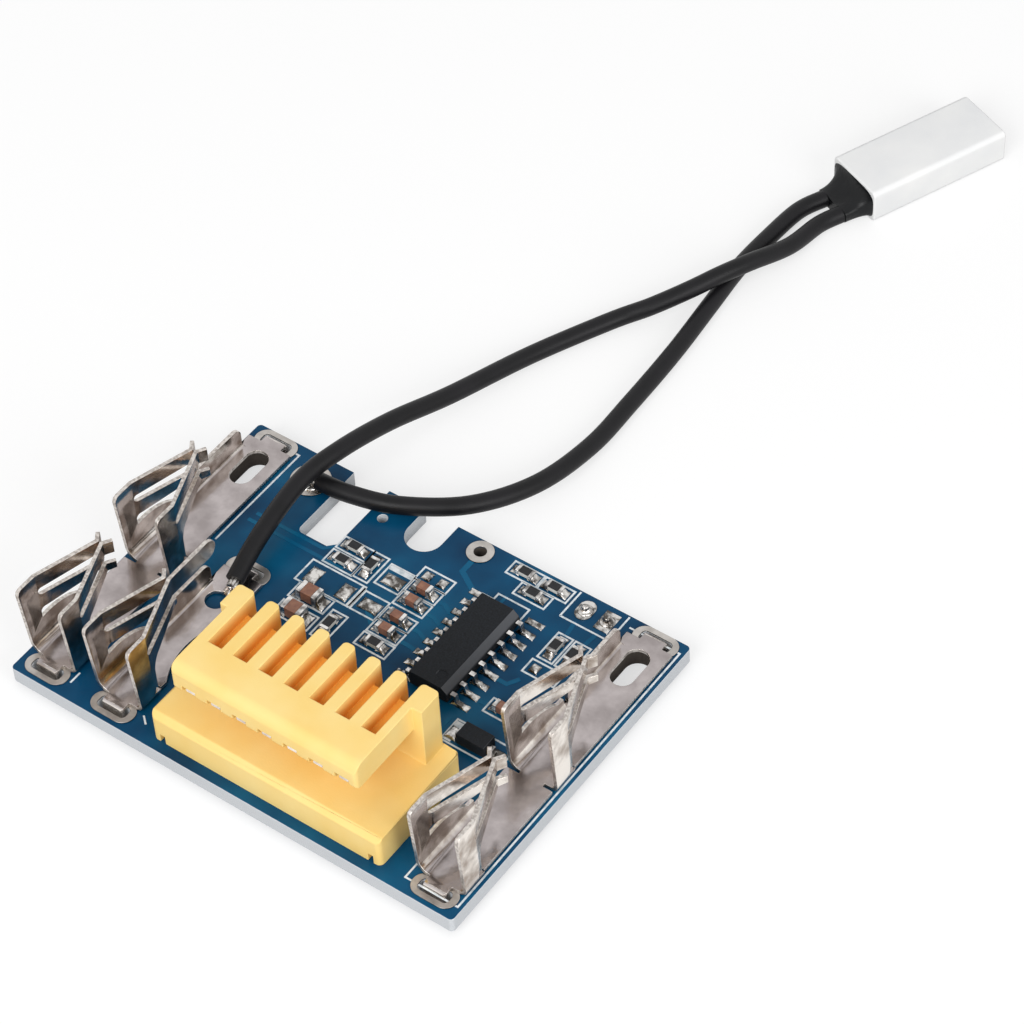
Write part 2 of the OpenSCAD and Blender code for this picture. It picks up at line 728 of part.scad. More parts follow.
module tube(c, d, sides) {
    rings = len(c);
    points = [for (i = [0:rings - 1]) let (t = heading(c, i), s = unit(cross([0, 0, 1], t)), u = cross(t, s))
        for (k = [0:sides - 1]) c[i] + d/2*(cos(360*k/sides)*s + sin(360*k/sides)*u)];
    polyhedron(points, concat(
        [[for (k = [0:sides - 1]) k]],
        [for (i = [0:rings - 2], k = [0:sides - 1]) let (a = i*sides + k, b = i*sides + (k + 1)%sides)
            [a, a + sides, b + sides, b]],
        [[for (k = [sides - 1:-1:0]) (rings - 1)*sides + k]]));
}

module charge_wire() {
    color(black) on_board() tube(curve(charge_route, 2), wire_diameter, 8);
}

module board_wire() {
    color(black) on_board() tube(curve(board_route, 2), wire_diameter, 8);
}

// Bared strands that run back from the start of a wire: their bundle, and how far each reaches
strand = 1.0;
strand_reach = [0.7, 1.3];

module strands(route, length) {
    c = curve(route, 2);
    h = heading(c, 0);
    translate(c[0]) rotate([0, acos(h[2]), atan2(h[1], h[0])]) translate([0, 0, -length])
        cylinder(d = strand, h = length);
}

// Solder mounds with the bared strands that run into each wire
module wire_joints() {
    color(tin) on_board() {
        strands(charge_route, strand_reach[0]);
        translate([charge_start[0] - 0.05, charge_start[1] - 0.4, sheet_top])
            cylinder(d1 = 1.5*strand, d2 = 0.9*strand, h = 0.9*strand);
        strands(board_route, strand_reach[1]);
        translate([wire_hole_at[0], wire_hole_at[1], 0]) {
            translate([0, 0, pad_height]) cylinder(d1 = 2.6*strand, d2 = strand, h = 1.2*strand);
            translate([0, 0, -board_thickness - 0.4])
                cylinder(d = wire_hole, h = board_thickness + pad_height + 0.5);
        }
    }
}

module in_case() {
    translate([case_at[0], case_at[1], floor_z]) rotate(case_turn - 90) children();
}

module cutout_case() {
    color("#efefec") on_board() in_case() along_y(0, case_length) translate([0, case_height/2])
        rounded([case_width, case_height], 0.5);
}

// Half outline of the resin: full size at the case, drawn in along a quarter ellipse to the leads
function drawn_in(full, small) = [for (a = [0:15:90])
    [small/2 + (full - small)/2*(1 - sin(a)), -resin_length*(1 - cos(a))]];

// Resin: fills the end of the case and draws in to a web that holds the two leads
module cutout_resin() {
    web = 2*lead_offset + wire_diameter + 0.2;
    full = case_width - 0.2;
    tall = case_height - 0.3;
    side = drawn_in(2*tall, 2*wire_diameter);
    plan = drawn_in(full, web);
    color(black) on_board() in_case() translate([0, 0, 0.1]) {
        intersection() {
            linear_extrude(tall) polygon(concat([[-full/2, e], [full/2, e]], plan,
                [for (i = [len(plan) - 1:-1:0]) [-plan[i][0], plan[i][1]]]));
            along_x(-full/2, full) polygon(concat([[e, 0], [e, tall]],
                [for (p = side) [p[1], p[0]]], [[-resin_length, 0]]));
        }
    }
}

circuit_board();
board_pads();
ring_pads();
left_power_terminal();
right_power_terminal();
charge_terminal();
connector_housing();
connector_contacts();
controller_chip();
chip_leads();
chip_solder();
diode_body();
diode_leads();
resistor_bodies();
resistor_ends();
small_capacitor_bodies();
small_capacitor_ends();
large_capacitor_bodies();
large_capacitor_ends();
component_solder();
spare_solder();
thermistor_joints();
wire_joints();
charge_wire();
board_wire();
cutout_case();
cutout_resin();
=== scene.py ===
# %% [markdown]
# # A battery management board
#
# The frame holds the exact solids of a small battery management board: stamped blade terminals, a moulded
# connector, a controller chip with its small parts, and a thermal cut-out on two leads. This lesson dresses
# them. Most solids keep their own mesh and get a finish and broken edges; the wires, the solder and the
# printed lines are worked out anew, because their real forms are soft or thinner than a solid needs to be.

# %% The frame and its box
import math

import bmesh
import bpy
import numpy as np
from mathutils import Matrix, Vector
from mathutils.bvhtree import BVHTree


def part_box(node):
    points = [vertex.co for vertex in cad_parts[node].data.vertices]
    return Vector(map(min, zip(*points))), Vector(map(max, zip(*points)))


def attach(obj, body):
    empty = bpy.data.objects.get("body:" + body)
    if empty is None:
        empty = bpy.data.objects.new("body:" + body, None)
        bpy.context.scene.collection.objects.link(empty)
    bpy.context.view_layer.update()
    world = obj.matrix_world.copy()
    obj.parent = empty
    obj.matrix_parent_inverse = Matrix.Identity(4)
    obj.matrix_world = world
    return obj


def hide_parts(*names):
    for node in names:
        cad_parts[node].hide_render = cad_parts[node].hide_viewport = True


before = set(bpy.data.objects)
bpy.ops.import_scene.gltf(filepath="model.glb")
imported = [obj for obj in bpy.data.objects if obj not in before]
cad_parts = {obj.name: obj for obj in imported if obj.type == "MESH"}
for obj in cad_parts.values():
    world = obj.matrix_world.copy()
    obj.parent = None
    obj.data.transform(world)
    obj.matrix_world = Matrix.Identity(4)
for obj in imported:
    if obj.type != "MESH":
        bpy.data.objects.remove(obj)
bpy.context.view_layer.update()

scene = bpy.context.scene
MM = 0.001
board_low, board_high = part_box("circuit_board")
CORNER = np.array([board_low[0], board_low[1], board_high[2]])
BOARD_X, BOARD_Y = [(board_high[i] - board_low[i])/MM for i in (0, 1)]


def on_board(points):
    """Metres in the frame: the front left corner of the board's top face plus millimetres."""
    return CORNER + MM*np.asarray(points, dtype=float)


print("board", round(BOARD_X, 2), "x", round(BOARD_Y, 2), "mm")

# %% [markdown]
# ## The camera
# A small module is usually shown from its front right corner, looking down at about 48 degrees. The camera
# could be turned by Euler angles. Its matrix is built from three axes instead, because the slight roll then
# stays a plain rotation of the right and up axes about the view.

# %% Camera
azimuth, elevation, roll = [math.radians(a) for a in (38.489, 48.218, -3.491)]
AIM, DISTANCE = (23.862, 36.162, 0), 303.805


def stand_at(place, right, up, back):
    """A matrix whose first three columns are the axes and whose last one is the place."""
    return Matrix([[right[i], up[i], back[i], place[i]] for i in range(3)] + [[0, 0, 0, 1]])


back = np.array([math.sin(azimuth)*math.cos(elevation), -math.cos(azimuth)*math.cos(elevation),
                 math.sin(elevation)])
level = np.array([math.cos(azimuth), math.sin(azimuth), 0])
upright = np.cross(back, level)
right = math.cos(roll)*level + math.sin(roll)*upright
up = math.cos(roll)*upright - math.sin(roll)*level
camera = bpy.data.objects.new("camera", bpy.data.cameras.new("camera"))
camera.data.lens = 128.4
camera.data.sensor_width = 36
camera.data.clip_start = 0.01
stand = on_board(AIM) + DISTANCE*MM*back
camera.matrix_world = stand_at(stand, right, up, back)
scene.collection.objects.link(camera)
scene.camera = camera
print("camera at", np.round(stand, 4))

# %% [markdown]
# ## Tools for finishes
# A finish is a Principled shader fed by a few texture nodes. One helper adds a node with its settings and
# links. Every pattern reads Object coordinates in metres, so a size in millimetres turns into a scale by
# one division, and the pattern stays on the piece whatever the view.

# %% Finish helpers
FINISHES = {}


def colour(code):
    """sRGB hex to linear: c/12.92 below 0.04045, else ((c + 0.055)/1.055) to the power 2.4."""
    values = np.array([int(code[i:i + 2], 16) for i in (1, 3, 5)])/255
    curve = np.where(values <= 0.04045, values/12.92, ((values + 0.055)/1.055)**2.4)
    return (*curve.tolist(), 1.0)


def per_mm(size):
    """The scale of a texture whose features repeat every size millimetres."""
    return 1/(size*MM)


def add(tree, kind, inputs=None, stops=(), **settings):
    """Adds one node: its settings, the stops of a ramp, and each input as a value or a link."""
    node = tree.nodes.new("ShaderNode" + kind)
    for key, value in settings.items():
        setattr(node, key, value)
    for i, (place, shade) in enumerate(stops):
        stop = node.color_ramp.elements[i] if i < 2 else node.color_ramp.elements.new(place)
        stop.position, stop.color = place, colour(shade)
    for socket, value in (inputs or {}).items():
        if isinstance(value, bpy.types.NodeSocket):
            tree.links.new(value, node.inputs[socket])
        else:
            node.inputs[socket].default_value = value
    return node


def finish(name, **shader):
    """A new material: its tree, its Principled shader with plain values set, and its coordinates."""
    material = bpy.data.materials.new(name)
    material.use_nodes = True
    tree = material.node_tree
    tree.nodes.clear()
    plain = {key.replace("_", " "): value for key, value in shader.items()}
    surface = add(tree, "BsdfPrincipled", plain)
    add(tree, "OutputMaterial", {"Surface": surface.outputs[0]})
    place = add(tree, "TexCoord").outputs["Object"]
    FINISHES[name] = material
    return tree, surface, place


def grain(tree, surface, place, size, depth, strength=1.0, detail=3.0):
    """Fine relief of the given feature size and depth in millimetres, as bump."""
    noise = add(tree, "TexNoise", {"Vector": place, "Scale": per_mm(size), "Detail": detail})
    bump = add(tree, "Bump", {"Height": noise.outputs[0], "Distance": depth*MM, "Strength": strength})
    tree.links.new(bump.outputs[0], surface.inputs["Normal"])


print("one millimetre repeats", round(per_mm(1.0)), "times in a metre")

# %% [markdown]
# ## Tools for shapes
# Every new surface is a grid: rows along a path or across a land, columns round a section. Its points are
# worked out as whole arrays and its faces follow from the grid's size alone, so one function serves tubes,
# beads, printed lines and the moulded resin. A piece that keeps its solid's mesh gets a bevel. Where a wall
# is thin, the bevel can throw a corner clear of the solid, so the bevelled mesh is kept and such a corner is
# brought back to the solid's skin.

# %% Shape helpers
DOUBLES, FLAT_TURN = 0.0005, 0.5
STRAY_SHARE, SLIVER_AREA = 0.8, 0.05


def grid_faces(rows, columns, closed=True):
    """Quads between neighbouring rows; the last column meets the first one when the section is closed."""
    i, k = np.meshgrid(np.arange(rows - 1), np.arange(columns if closed else columns - 1), indexing="ij")
    a, b = i*columns + k, i*columns + (k + 1) % columns
    return np.stack([a, b, b + columns, a + columns], axis=-1).reshape(-1, 4).tolist()


def sleeve(rings):
    """Points (rows, columns, 3) to a closed skin: quads along it and one flat face at each end."""
    rows, columns = rings.shape[:2]
    ends = [list(range(columns))[::-1], [(rows - 1)*columns + k for k in range(columns)]]
    return rings.reshape(-1, 3), grid_faces(rows, columns) + ends


def gather(parts):
    """Joins several (points, faces) into one."""
    points, faces, start = [], [], 0
    for some_points, some_faces in parts:
        points.append(some_points)
        faces += [[start + i for i in face] for face in some_faces]
        start += len(some_points)
    return np.vstack(points), faces


def hang(piece, finish_name):
    """Gives a piece its finish and slot and lets it ride on the board's body."""
    if not piece.data.materials:
        piece.data.materials.append(None)
    piece.data.materials[0] = FINISHES[finish_name]
    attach(piece, "root")
    return piece


def make_piece(name, shape, finish_name, sharp=40):
    """A mesh piece from (points in metres, faces), smooth except where it turns more than the angle."""
    mesh = bpy.data.meshes.new(name)
    mesh.from_pydata(shape[0].tolist(), [], shape[1])
    mesh.validate()
    smooth_by_angle(mesh, sharp)
    piece = bpy.data.objects.new(name, mesh)
    scene.collection.objects.link(piece)
    return hang(piece, finish_name)


def smooth_by_angle(mesh, sharp):
    """Marks the edges that turn more than the angle as sharp, and shades the rest smooth."""
    work = bmesh.new()
    work.from_mesh(mesh)
    limit = math.radians(sharp)
    for edge in work.edges:
        edge.smooth = len(edge.link_faces) == 2 and edge.calc_face_angle(0) < limit
    for face in work.faces:
        face.smooth = True
    work.to_mesh(mesh)
    work.free()


def settle(piece, solid, edge):
    """Keeps the bevelled mesh. A corner that the bevel threw clear of the solid comes back to its skin."""
    skin = BVHTree.FromPolygons([v.co for v in solid.vertices], [tuple(f.vertices) for f in solid.polygons])
    graph = bpy.context.evaluated_depsgraph_get()
    piece.data = bpy.data.meshes.new_from_object(piece.evaluated_get(graph), preserve_all_data_layers=True,
                                                 depsgraph=graph)
    piece.modifiers.clear()
    normals = [tuple(corner.vector) for corner in piece.data.corner_normals]
    stray = set()
    for vertex in piece.data.vertices:
        near, _, _, away = skin.find_nearest(vertex.co)
        if away > STRAY_SHARE*edge:
            vertex.co = near
            stray.add(vertex.index)
    piece.data.update()
    for face in piece.data.polygons:
        if stray.intersection(face.vertices):
            sliver = face.area < SLIVER_AREA*MM*MM
            facing = skin.find_nearest(face.center)[1] if sliver else face.normal
            for corner in face.loop_indices:
                normals[corner] = tuple(facing)
    piece.data.normals_split_custom_set(normals)


def dress(node, finish_name, edge=0.05, sharp=30, segments=2, rework=None):
    """rework, when given, changes the merged mesh in place of joining its flat faces.
    rework may change the merged mesh before its faces are joined."""
    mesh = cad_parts[node].data.copy()
    work = bmesh.new()
    work.from_mesh(mesh)
    bmesh.ops.remove_doubles(work, verts=work.verts, dist=DOUBLES*MM)
    if rework:
        rework(work)
    else:
        bmesh.ops.dissolve_limit(work, angle_limit=math.radians(FLAT_TURN), verts=work.verts,
                                 edges=work.edges)
    work.to_mesh(mesh)
    work.free()
    smooth_by_angle(mesh, sharp)
    piece = bpy.data.objects.new(node + "_finished", mesh)
    scene.collection.objects.link(piece)
    bevel = piece.modifiers.new("broken edges", "BEVEL")
    bevel.width = edge*MM
    bevel.segments = segments
    bevel.limit_method = "ANGLE"
    bevel.angle_limit = math.radians(sharp)
    bevel.use_clamp_overlap = False
    bevel.harden_normals = True
    settle(piece, mesh, edge*MM)
    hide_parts(node)
    return hang(piece, finish_name)


print("a stray corner is over", STRAY_SHARE, "of the bevel from its solid")

# %% [markdown]
# ## Wire cover
# The leads are stranded copper in an extruded silicone rubber cover. Extrusion leaves the cover satin, a
# shade above pure black, with a very fine grain. Dust and handling dull it in patches, so the roughness is
# let wander a little, which breaks up the long highlights.

# %% Rubber finish
tree, surface, place = finish("extruded_silicone_rubber", Roughness=0.42, IOR=1.43, Specular_IOR_Level=0.3)
patches = add(tree, "TexNoise", {"Vector": place, "Scale": per_mm(3.0), "Detail": 4.0})
shade = add(tree, "ValToRGB", {"Fac": patches.outputs[0]}, stops=[(0.35, "#0d0d0f"), (0.7, "#161518")])
dullness = add(tree, "MapRange", {"Value": patches.outputs[0], "To Min": 0.34, "To Max": 0.55})
tree.links.new(shade.outputs[0], surface.inputs["Base Color"])
tree.links.new(dullness.outputs[0], surface.inputs["Roughness"])
grain(tree, surface, place, 0.25, 0.01)
print("rubber nodes", len(tree.nodes))

# %% [markdown]
# ## The two leads
# A cord is a centre line and a round section. Its route points are given one by one, as a wire is laid, and a
# smooth curve runs through them. A curve object with a bevel would do too, but a numpy tube keeps the same
# rule as the solids and gives an exact path.

# %% Wires
WIRE = 1.6
case_low, case_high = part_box("cutout_case")
CASE_TURN = math.radians(67.6)
CASE_DIR = np.array([math.cos(CASE_TURN), math.sin(CASE_TURN), 0])
CASE_SIDE = np.array([math.sin(CASE_TURN), -math.cos(CASE_TURN), 0])
FLOOR_Z = -CORNER[2]/MM
REST_Z = FLOOR_Z + WIRE/2
print("case box", [round((b - a)/MM, 1) for a, b in zip(case_low, case_high)], "mm")
CASE_AT = np.array([26.35, 85.2, FLOOR_Z])
LEAD_OFFSET, RESIN_LENGTH = 1.25, 2.3


def lead_at(back_off, side):
    """A point on a lead's line, behind the case and to one side of its middle."""
    point = CASE_AT - back_off*CASE_DIR + side*LEAD_OFFSET*CASE_SIDE
    return [point[0], point[1], REST_Z]


charge_route = [[10.2, 16.5, 1.45], [9.5, 21, 2.5], [8.95, 27, 3.1], [9.5, 31.5, 3.1], [10.3, 37.4, 1.9],
                [11.8, 43.8, 0.4], [13.9, 52.5, -1.0], [17.2, 59.9, -1.2], [19.5, 62.9, -0.6], [21.5, 66, 0],
                [22.9, 68.8, 0.3], [24.1, 71.8, 0.1], [25.3, 76.2, -0.9],
                lead_at(RESIN_LENGTH + 2.4, 1), lead_at(RESIN_LENGTH, 1)]
board_route = [[8.9, 29.3, 0.95], [12, 29.6, 0.95], [16.2, 30.9, 0.95], [20.9, 34.4, 0.7], [23.6, 40, -0.2],
               [24.4, 46.7, -1.1], [24.2, 53, REST_Z], [23.9, 60, REST_Z], [23.3, 66.5, REST_Z],
               [22.8, 72, REST_Z], [22.9, 77, REST_Z],
               lead_at(RESIN_LENGTH + 2.8, -1), lead_at(RESIN_LENGTH, -1)]


def smooth_line(route, steps=8):
    """Catmull-Rom: between b and c, half of 2b + (c-a)t + (2a-5b+4c-d)t^2 + (3b-a-3c+d)t^3."""
    p = np.array([route[0], *route, route[-1]], dtype=float)
    a, b, c, d = [p[i:len(p) - 3 + i, None, :] for i in range(4)]
    t = (np.arange(steps)/steps)[None, :, None]
    spans = 0.5*(2*b + (c - a)*t + (2*a - 5*b + 4*c - d)*t**2 + (3*b - a - 3*c + d)*t**3)
    return np.vstack([spans.reshape(-1, 3), p[-1:]])


def across(line):
    """Unit headings along a line, and two unit directions across it: level side and rise."""
    heading = np.gradient(line, axis=0)
    heading /= np.linalg.norm(heading, axis=1, keepdims=True)
    side = np.cross([0, 0, 1.0], heading)
    side /= np.linalg.norm(side, axis=1, keepdims=True)
    return heading, side, np.cross(heading, side)


def tube(line, radius, sides=24):
    """Rings across a line: centre + r (cos a side + sin a rise), with r one value or one for each ring."""
    heading, side, rise = across(line)
    a = (2*np.pi*np.arange(sides)/sides)[None, :, None]
    r = np.broadcast_to(radius, len(line))[:, None, None]
    return line[:, None] + r*(np.cos(a)*side[:, None] + np.sin(a)*rise[:, None])


for name, route in (("charge_wire", charge_route), ("board_wire", board_route)):
    line = smooth_line(route)
    wire = make_piece(name + "_finished", sleeve(on_board(tube(line, WIRE/2))), "extruded_silicone_rubber",
                      sharp=60)
    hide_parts(name)

# %% [markdown]
# ## The cut-out's case
# The thermal cut-out sits in a moulded white case, potted at its open end. The case is a plain rounded
# block, so it keeps the solid's mesh. White moulded polyester is never one flat white: it has a faint cloud
# of warm and cool and a fine matt grain from the mould's spark finish.

# %% Case finish and piece
tree, surface, place = finish("moulded_white_polyester", Roughness=0.5, IOR=1.55, Specular_IOR_Level=0.2)
cloud = add(tree, "TexNoise", {"Vector": place, "Scale": per_mm(5.0), "Detail": 3.0})
shade = add(tree, "ValToRGB", {"Fac": cloud.outputs[0]}, stops=[(0.3, "#ecedee"), (0.7, "#f6f6f5")])
tree.links.new(shade.outputs[0], surface.inputs["Base Color"])
grain(tree, surface, place, 0.18, 0.01)
case = dress("cutout_case", "moulded_white_polyester", edge=0.18, sharp=40, segments=3)
print("case faces", len(case.data.polygons))

# %% [markdown]
# ## The resin
# Epoxy resin is poured into the open end of the case and creeps along the two leads before it sets, so it
# draws in along a hollow curve in plan and in height. It could be a sculpted lump. Here its section is a
# rounded box whose half width and height shrink along a quarter ellipse.

# %% Resin
tree, surface, place = finish("potting_epoxy_resin", Roughness=0.35, IOR=1.55, Specular_IOR_Level=0.2)
cloud = add(tree, "TexNoise", {"Vector": place, "Scale": per_mm(1.5), "Detail": 3.0})
shade = add(tree, "ValToRGB", {"Fac": cloud.outputs[0]}, stops=[(0.3, "#0a0b0d"), (0.75, "#131416")])
tree.links.new(shade.outputs[0], surface.inputs["Base Color"])
grain(tree, surface, place, 0.5, 0.05)

CASE_WIDTH, CASE_HEIGHT = 6.3, 3.4


def resin_shape(rows=16, sides=40):
    """Superellipse sections |u|^4 + |v|^4 = 1, drawn in from case to leads by 1 - sin of the angle."""
    angle = np.linspace(0, np.pi/2, rows)[:, None]
    draw = 1 - np.sin(angle)
    half_width = LEAD_OFFSET + WIRE/2 + 0.05 + draw*(CASE_WIDTH/2 - 0.15 - LEAD_OFFSET - WIRE/2 - 0.05)
    low, high = 0.12*np.ones_like(draw), WIRE - 0.02 + draw*(CASE_HEIGHT - 0.2 - WIRE)
    away = -RESIN_LENGTH*(1 - np.cos(angle))
    round_angle = 2*np.pi*np.arange(sides)[None, :]/sides
    u = np.sign(np.cos(round_angle))*np.abs(np.cos(round_angle))**0.5
    v = np.sign(np.sin(round_angle))*np.abs(np.sin(round_angle))**0.5
    gap = np.sin(angle)**4*0.35*np.exp(-(u/0.28)**2)*(v > 0)
    across_case = half_width*u
    height = (low + high)/2 + (high - low)/2*v*(1 - gap)
    points = CASE_AT + away[..., None]*CASE_DIR + across_case[..., None]*CASE_SIDE
    points[..., 2] = FLOOR_Z + height
    return points[::-1]


resin = make_piece("cutout_resin_finished", sleeve(on_board(resin_shape())), "potting_epoxy_resin")
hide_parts("cutout_resin")

print("resin faces", len(resin.data.polygons))

# %% [markdown]
# ## The board
# The board is glass cloth in epoxy, copper on both faces, under a dark blue solder mask. The mask is screen
# printed and cured: glossy, a little cloudy, bluer over bare laminate and greener where copper lies below.
# The sawn edges show the pale cloth in thin layers. One finish covers the whole solid: the upright part of
# the normal tells mask from sawn edge. The walls of the plated ring and of the two long holes under the
# strips are metal, and the shade inside these bores is painted: the edge's colour turns dark grey within a
# short reach of each.

# %% Board finish
HALF_DEEP, RIM_FADE = -0.8, 0.05
SHADED_BORES = [((24.3, 31.1), 1.3), ((2.7, 27.6), 2.6), ((41.7, 27.6), 2.6)]
tree, surface, place = finish("blue_mask_on_glass_epoxy", IOR=1.5, Specular_IOR_Level=0.15)
facing = add(tree, "SeparateXYZ", {"Vector": add(tree, "NewGeometry").outputs["Normal"]})
upright_part = add(tree, "Math", {0: facing.outputs["Z"]}, operation="ABSOLUTE")
masked = add(tree, "MapRange", {"Value": upright_part.outputs[0], "From Min": 0.5, "From Max": 0.8})
cloud = add(tree, "TexNoise", {"Vector": place, "Scale": per_mm(7.0), "Detail": 3.0})
mask = add(tree, "ValToRGB", {"Fac": cloud.outputs[0]},
           stops=[(0.32, "#043556"), (0.52, "#07486c"), (0.7, "#0c5b80")])
weave = add(tree, "TexWave", {"Vector": place, "Scale": per_mm(0.5), "Distortion": 2.0},
            wave_type="BANDS", bands_direction="Z")
cloth = add(tree, "ValToRGB", {"Fac": weave.outputs[0]}, stops=[(0.2, "#b9bdc1"), (0.8, "#e0e3e7")])
edge = cloth.outputs[0]
# Painted shade: dark grey fades in on the sawn edge near each bore, for the shade inside the hole.
for at, reach in SHADED_BORES:
    away = add(tree, "VectorMath", {0: place, 1: on_board((*at, HALF_DEEP))}, operation="DISTANCE")
    plated = add(tree, "MapRange", {"Value": away.outputs["Value"], "From Min": reach*MM,
                                    "From Max": (reach - RIM_FADE)*MM})
    edge = add(tree, "Mix", {0: plated.outputs[0], 6: edge, 7: colour("#4c4641")},
               data_type="RGBA").outputs[2]
skin = add(tree, "Mix", {0: masked.outputs[0], 6: edge, 7: mask.outputs[0]}, data_type="RGBA")
gloss = add(tree, "MapRange", {"Value": masked.outputs[0], "To Min": 0.75, "To Max": 0.28})
tree.links.new(skin.outputs[2], surface.inputs["Base Color"])
tree.links.new(gloss.outputs[0], surface.inputs["Roughness"])
grain(tree, surface, place, 0.6, 0.012)
board = dress("circuit_board", "blue_mask_on_glass_epoxy", edge=0.08, sharp=40)
print("board faces", len(board.data.polygons))

# %% [markdown]
# ## Copper under the mask
# Etched copper lifts the mask by a few hundredths of a millimetre and shows through it as a lighter, greener
# blue. The tracks could be painted into the board's finish. They are thin ribbons here, because a raised
# edge catches the light as the real one does. A ribbon is a flat section carried along a path of corners,
# and each corner is mitred: its offset is half the width over the cosine of half the turn.

# %% Ribbons
INK_HIGH, COPPER_HIGH, SUNK = 0.03, 0.022, 0.02
LONGEST_MITRE = 0.35


def ribbon(corners, width, high, closed=False):
    """A flat strip along corners (x, y): left and right edges at half the width, top at high, foot sunk."""
    p = np.array(corners, dtype=float)
    step = np.roll(p, -1, axis=0) - p
    step /= np.linalg.norm(step, axis=1, keepdims=True)
    before = np.roll(step, 1, axis=0)
    if not closed:
        step[-1], before[0] = before[-1], step[0]
    normal, last = [np.stack([-s[:, 1], s[:, 0]], axis=1) for s in (step, before)]
    mitre = normal + last
    mitre /= np.linalg.norm(mitre, axis=1, keepdims=True)
    reach = width/2/np.maximum((mitre*normal).sum(axis=1, keepdims=True), LONGEST_MITRE)
    left, right_edge = p + mitre*reach, p - mitre*reach
    section = [(left, high), (left, -SUNK), (right_edge, -SUNK), (right_edge, high)]
    rings = np.stack([np.column_stack([edge, np.full(len(p), z)]) for edge, z in section], axis=1)
    if closed:
        return rings.reshape(-1, 3), grid_faces(len(p) + 1, 4)
    return sleeve(rings)


def closed_ribbon(corners, width, high):
    """The ribbon of a closed outline, its last row joined to its first."""
    points, faces = ribbon(corners, width, high, closed=True)
    return points, [[i % len(points) for i in face] for face in faces]


def plate(outline, high):
    """A flat patch: its outline (x, y) at the top, the same outline sunk below, and two flat faces."""
    flat = np.array(outline, dtype=float)
    rings = np.stack([np.column_stack([flat, np.full(len(flat), z)]) for z in (-SUNK, high)])
    return sleeve(rings)


def box_outline(x0, y0, x1, y1):
    """The four corners of an upright rectangle."""
    return [[x0, y0], [x1, y0], [x1, y1], [x0, y1]]


print("copper lifts the mask by", COPPER_HIGH, "mm and ink stands", INK_HIGH, "mm high")

# %% [markdown]
# ## The printed legend
# White epoxy ink, screened on after the mask, marks each part's place with a thin frame. The ink stands a
# few hundredths of a millimetre high and is slightly uneven, so it is built as ribbons too.

# %% Legend
LINE = 0.16
frames = [(14.0, 24.9, 17.05, 26.3), (14.0, 23.1, 17.0, 24.65), (17.05, 23.2, 18.55, 26.3),
          (18.0, 16.3, 19.5, 19.4), (21.5, 17.55, 24.6, 19.0), (27.3, 30.5, 30.3, 31.95),
          (30.45, 30.5, 33.3, 31.95), (29.1, 29.0, 32.2, 30.4), (34.65, 24.7, 36.1, 27.7),
          (36.35, 24.7, 37.85, 27.7), (21.5, 25.8, 24.6, 27.3), (34.5, 22.8, 37.6, 24.3),
          (21.55, 24.3, 24.55, 25.75), (21.55, 22.7, 24.55, 24.2), (21.55, 20.7, 24.55, 22.15),
          (21.55, 19.2, 24.55, 20.65), (13.95, 18.55, 17.55, 20.2), (13.95, 16.4, 17.55, 18.05),
          (34.3, 17.75, 37.3, 19.3), (13.3, 20.3, 18.8, 22.8), (19.0, 20.3, 21.45, 22.5),
          (19.0, 23.6, 21.45, 26.0), (33.2, 13.6, 38.8, 15.95)]
strokes = [
    [[5.15, 20.0], [5.15, 31.3], [4.5, 31.3]], [[5.1, 2.7], [5.1, 1.5]], [[12.2, 2.2], [12.9, 1.6]],
    [[39.1, 31.3], [44.0, 31.3], [44.0, 1.3], [39.0, 1.3], [39.0, 3.0]],
    [[27.0, 27.6], [28.2, 27.6], [28.2, 28.3], [31.3, 28.3], [31.3, 27.0]],
    [[33.7, 29.2], [33.7, 32.2]], [[38.5, 29.2], [38.5, 32.2]], [[33.7, 29.2], [38.5, 29.2]]]
bars = [(18.5, 20.4, 18.95, 22.7), (19.1, 25.45, 21.35, 25.95), (33.3, 13.75, 34.0, 15.8)]
tree, surface, place = finish("screened_white_epoxy_ink", Roughness=0.55, IOR=1.5)
wear = add(tree, "TexNoise", {"Vector": place, "Scale": per_mm(0.6), "Detail": 4.0})
shade = add(tree, "ValToRGB", {"Fac": wear.outputs[0]}, stops=[(0.3, "#b9c6cd"), (0.55, "#e9eef1")])
tree.links.new(shade.outputs[0], surface.inputs["Base Color"])
grain(tree, surface, place, 0.15, 0.008)
legend = gather([closed_ribbon(box_outline(*f), LINE, INK_HIGH) for f in frames]
                + [ribbon(s, LINE, INK_HIGH) for s in strokes]
                + [plate(box_outline(*b), INK_HIGH) for b in bars])
make_piece("printed_legend", (on_board(legend[0]), legend[1]), "screened_white_epoxy_ink")
print("legend", len(frames), "frames")

# %% [markdown]
# ## The tracks
# The tracks are drawn where the copper shows beside the parts, and stop where a part or its frame hides them.
# They could be cut into the board's mesh, but ribbons leave the board plain. The mask over copper is lighter
# and greener than over bare laminate, because the metal below it throws the light back.

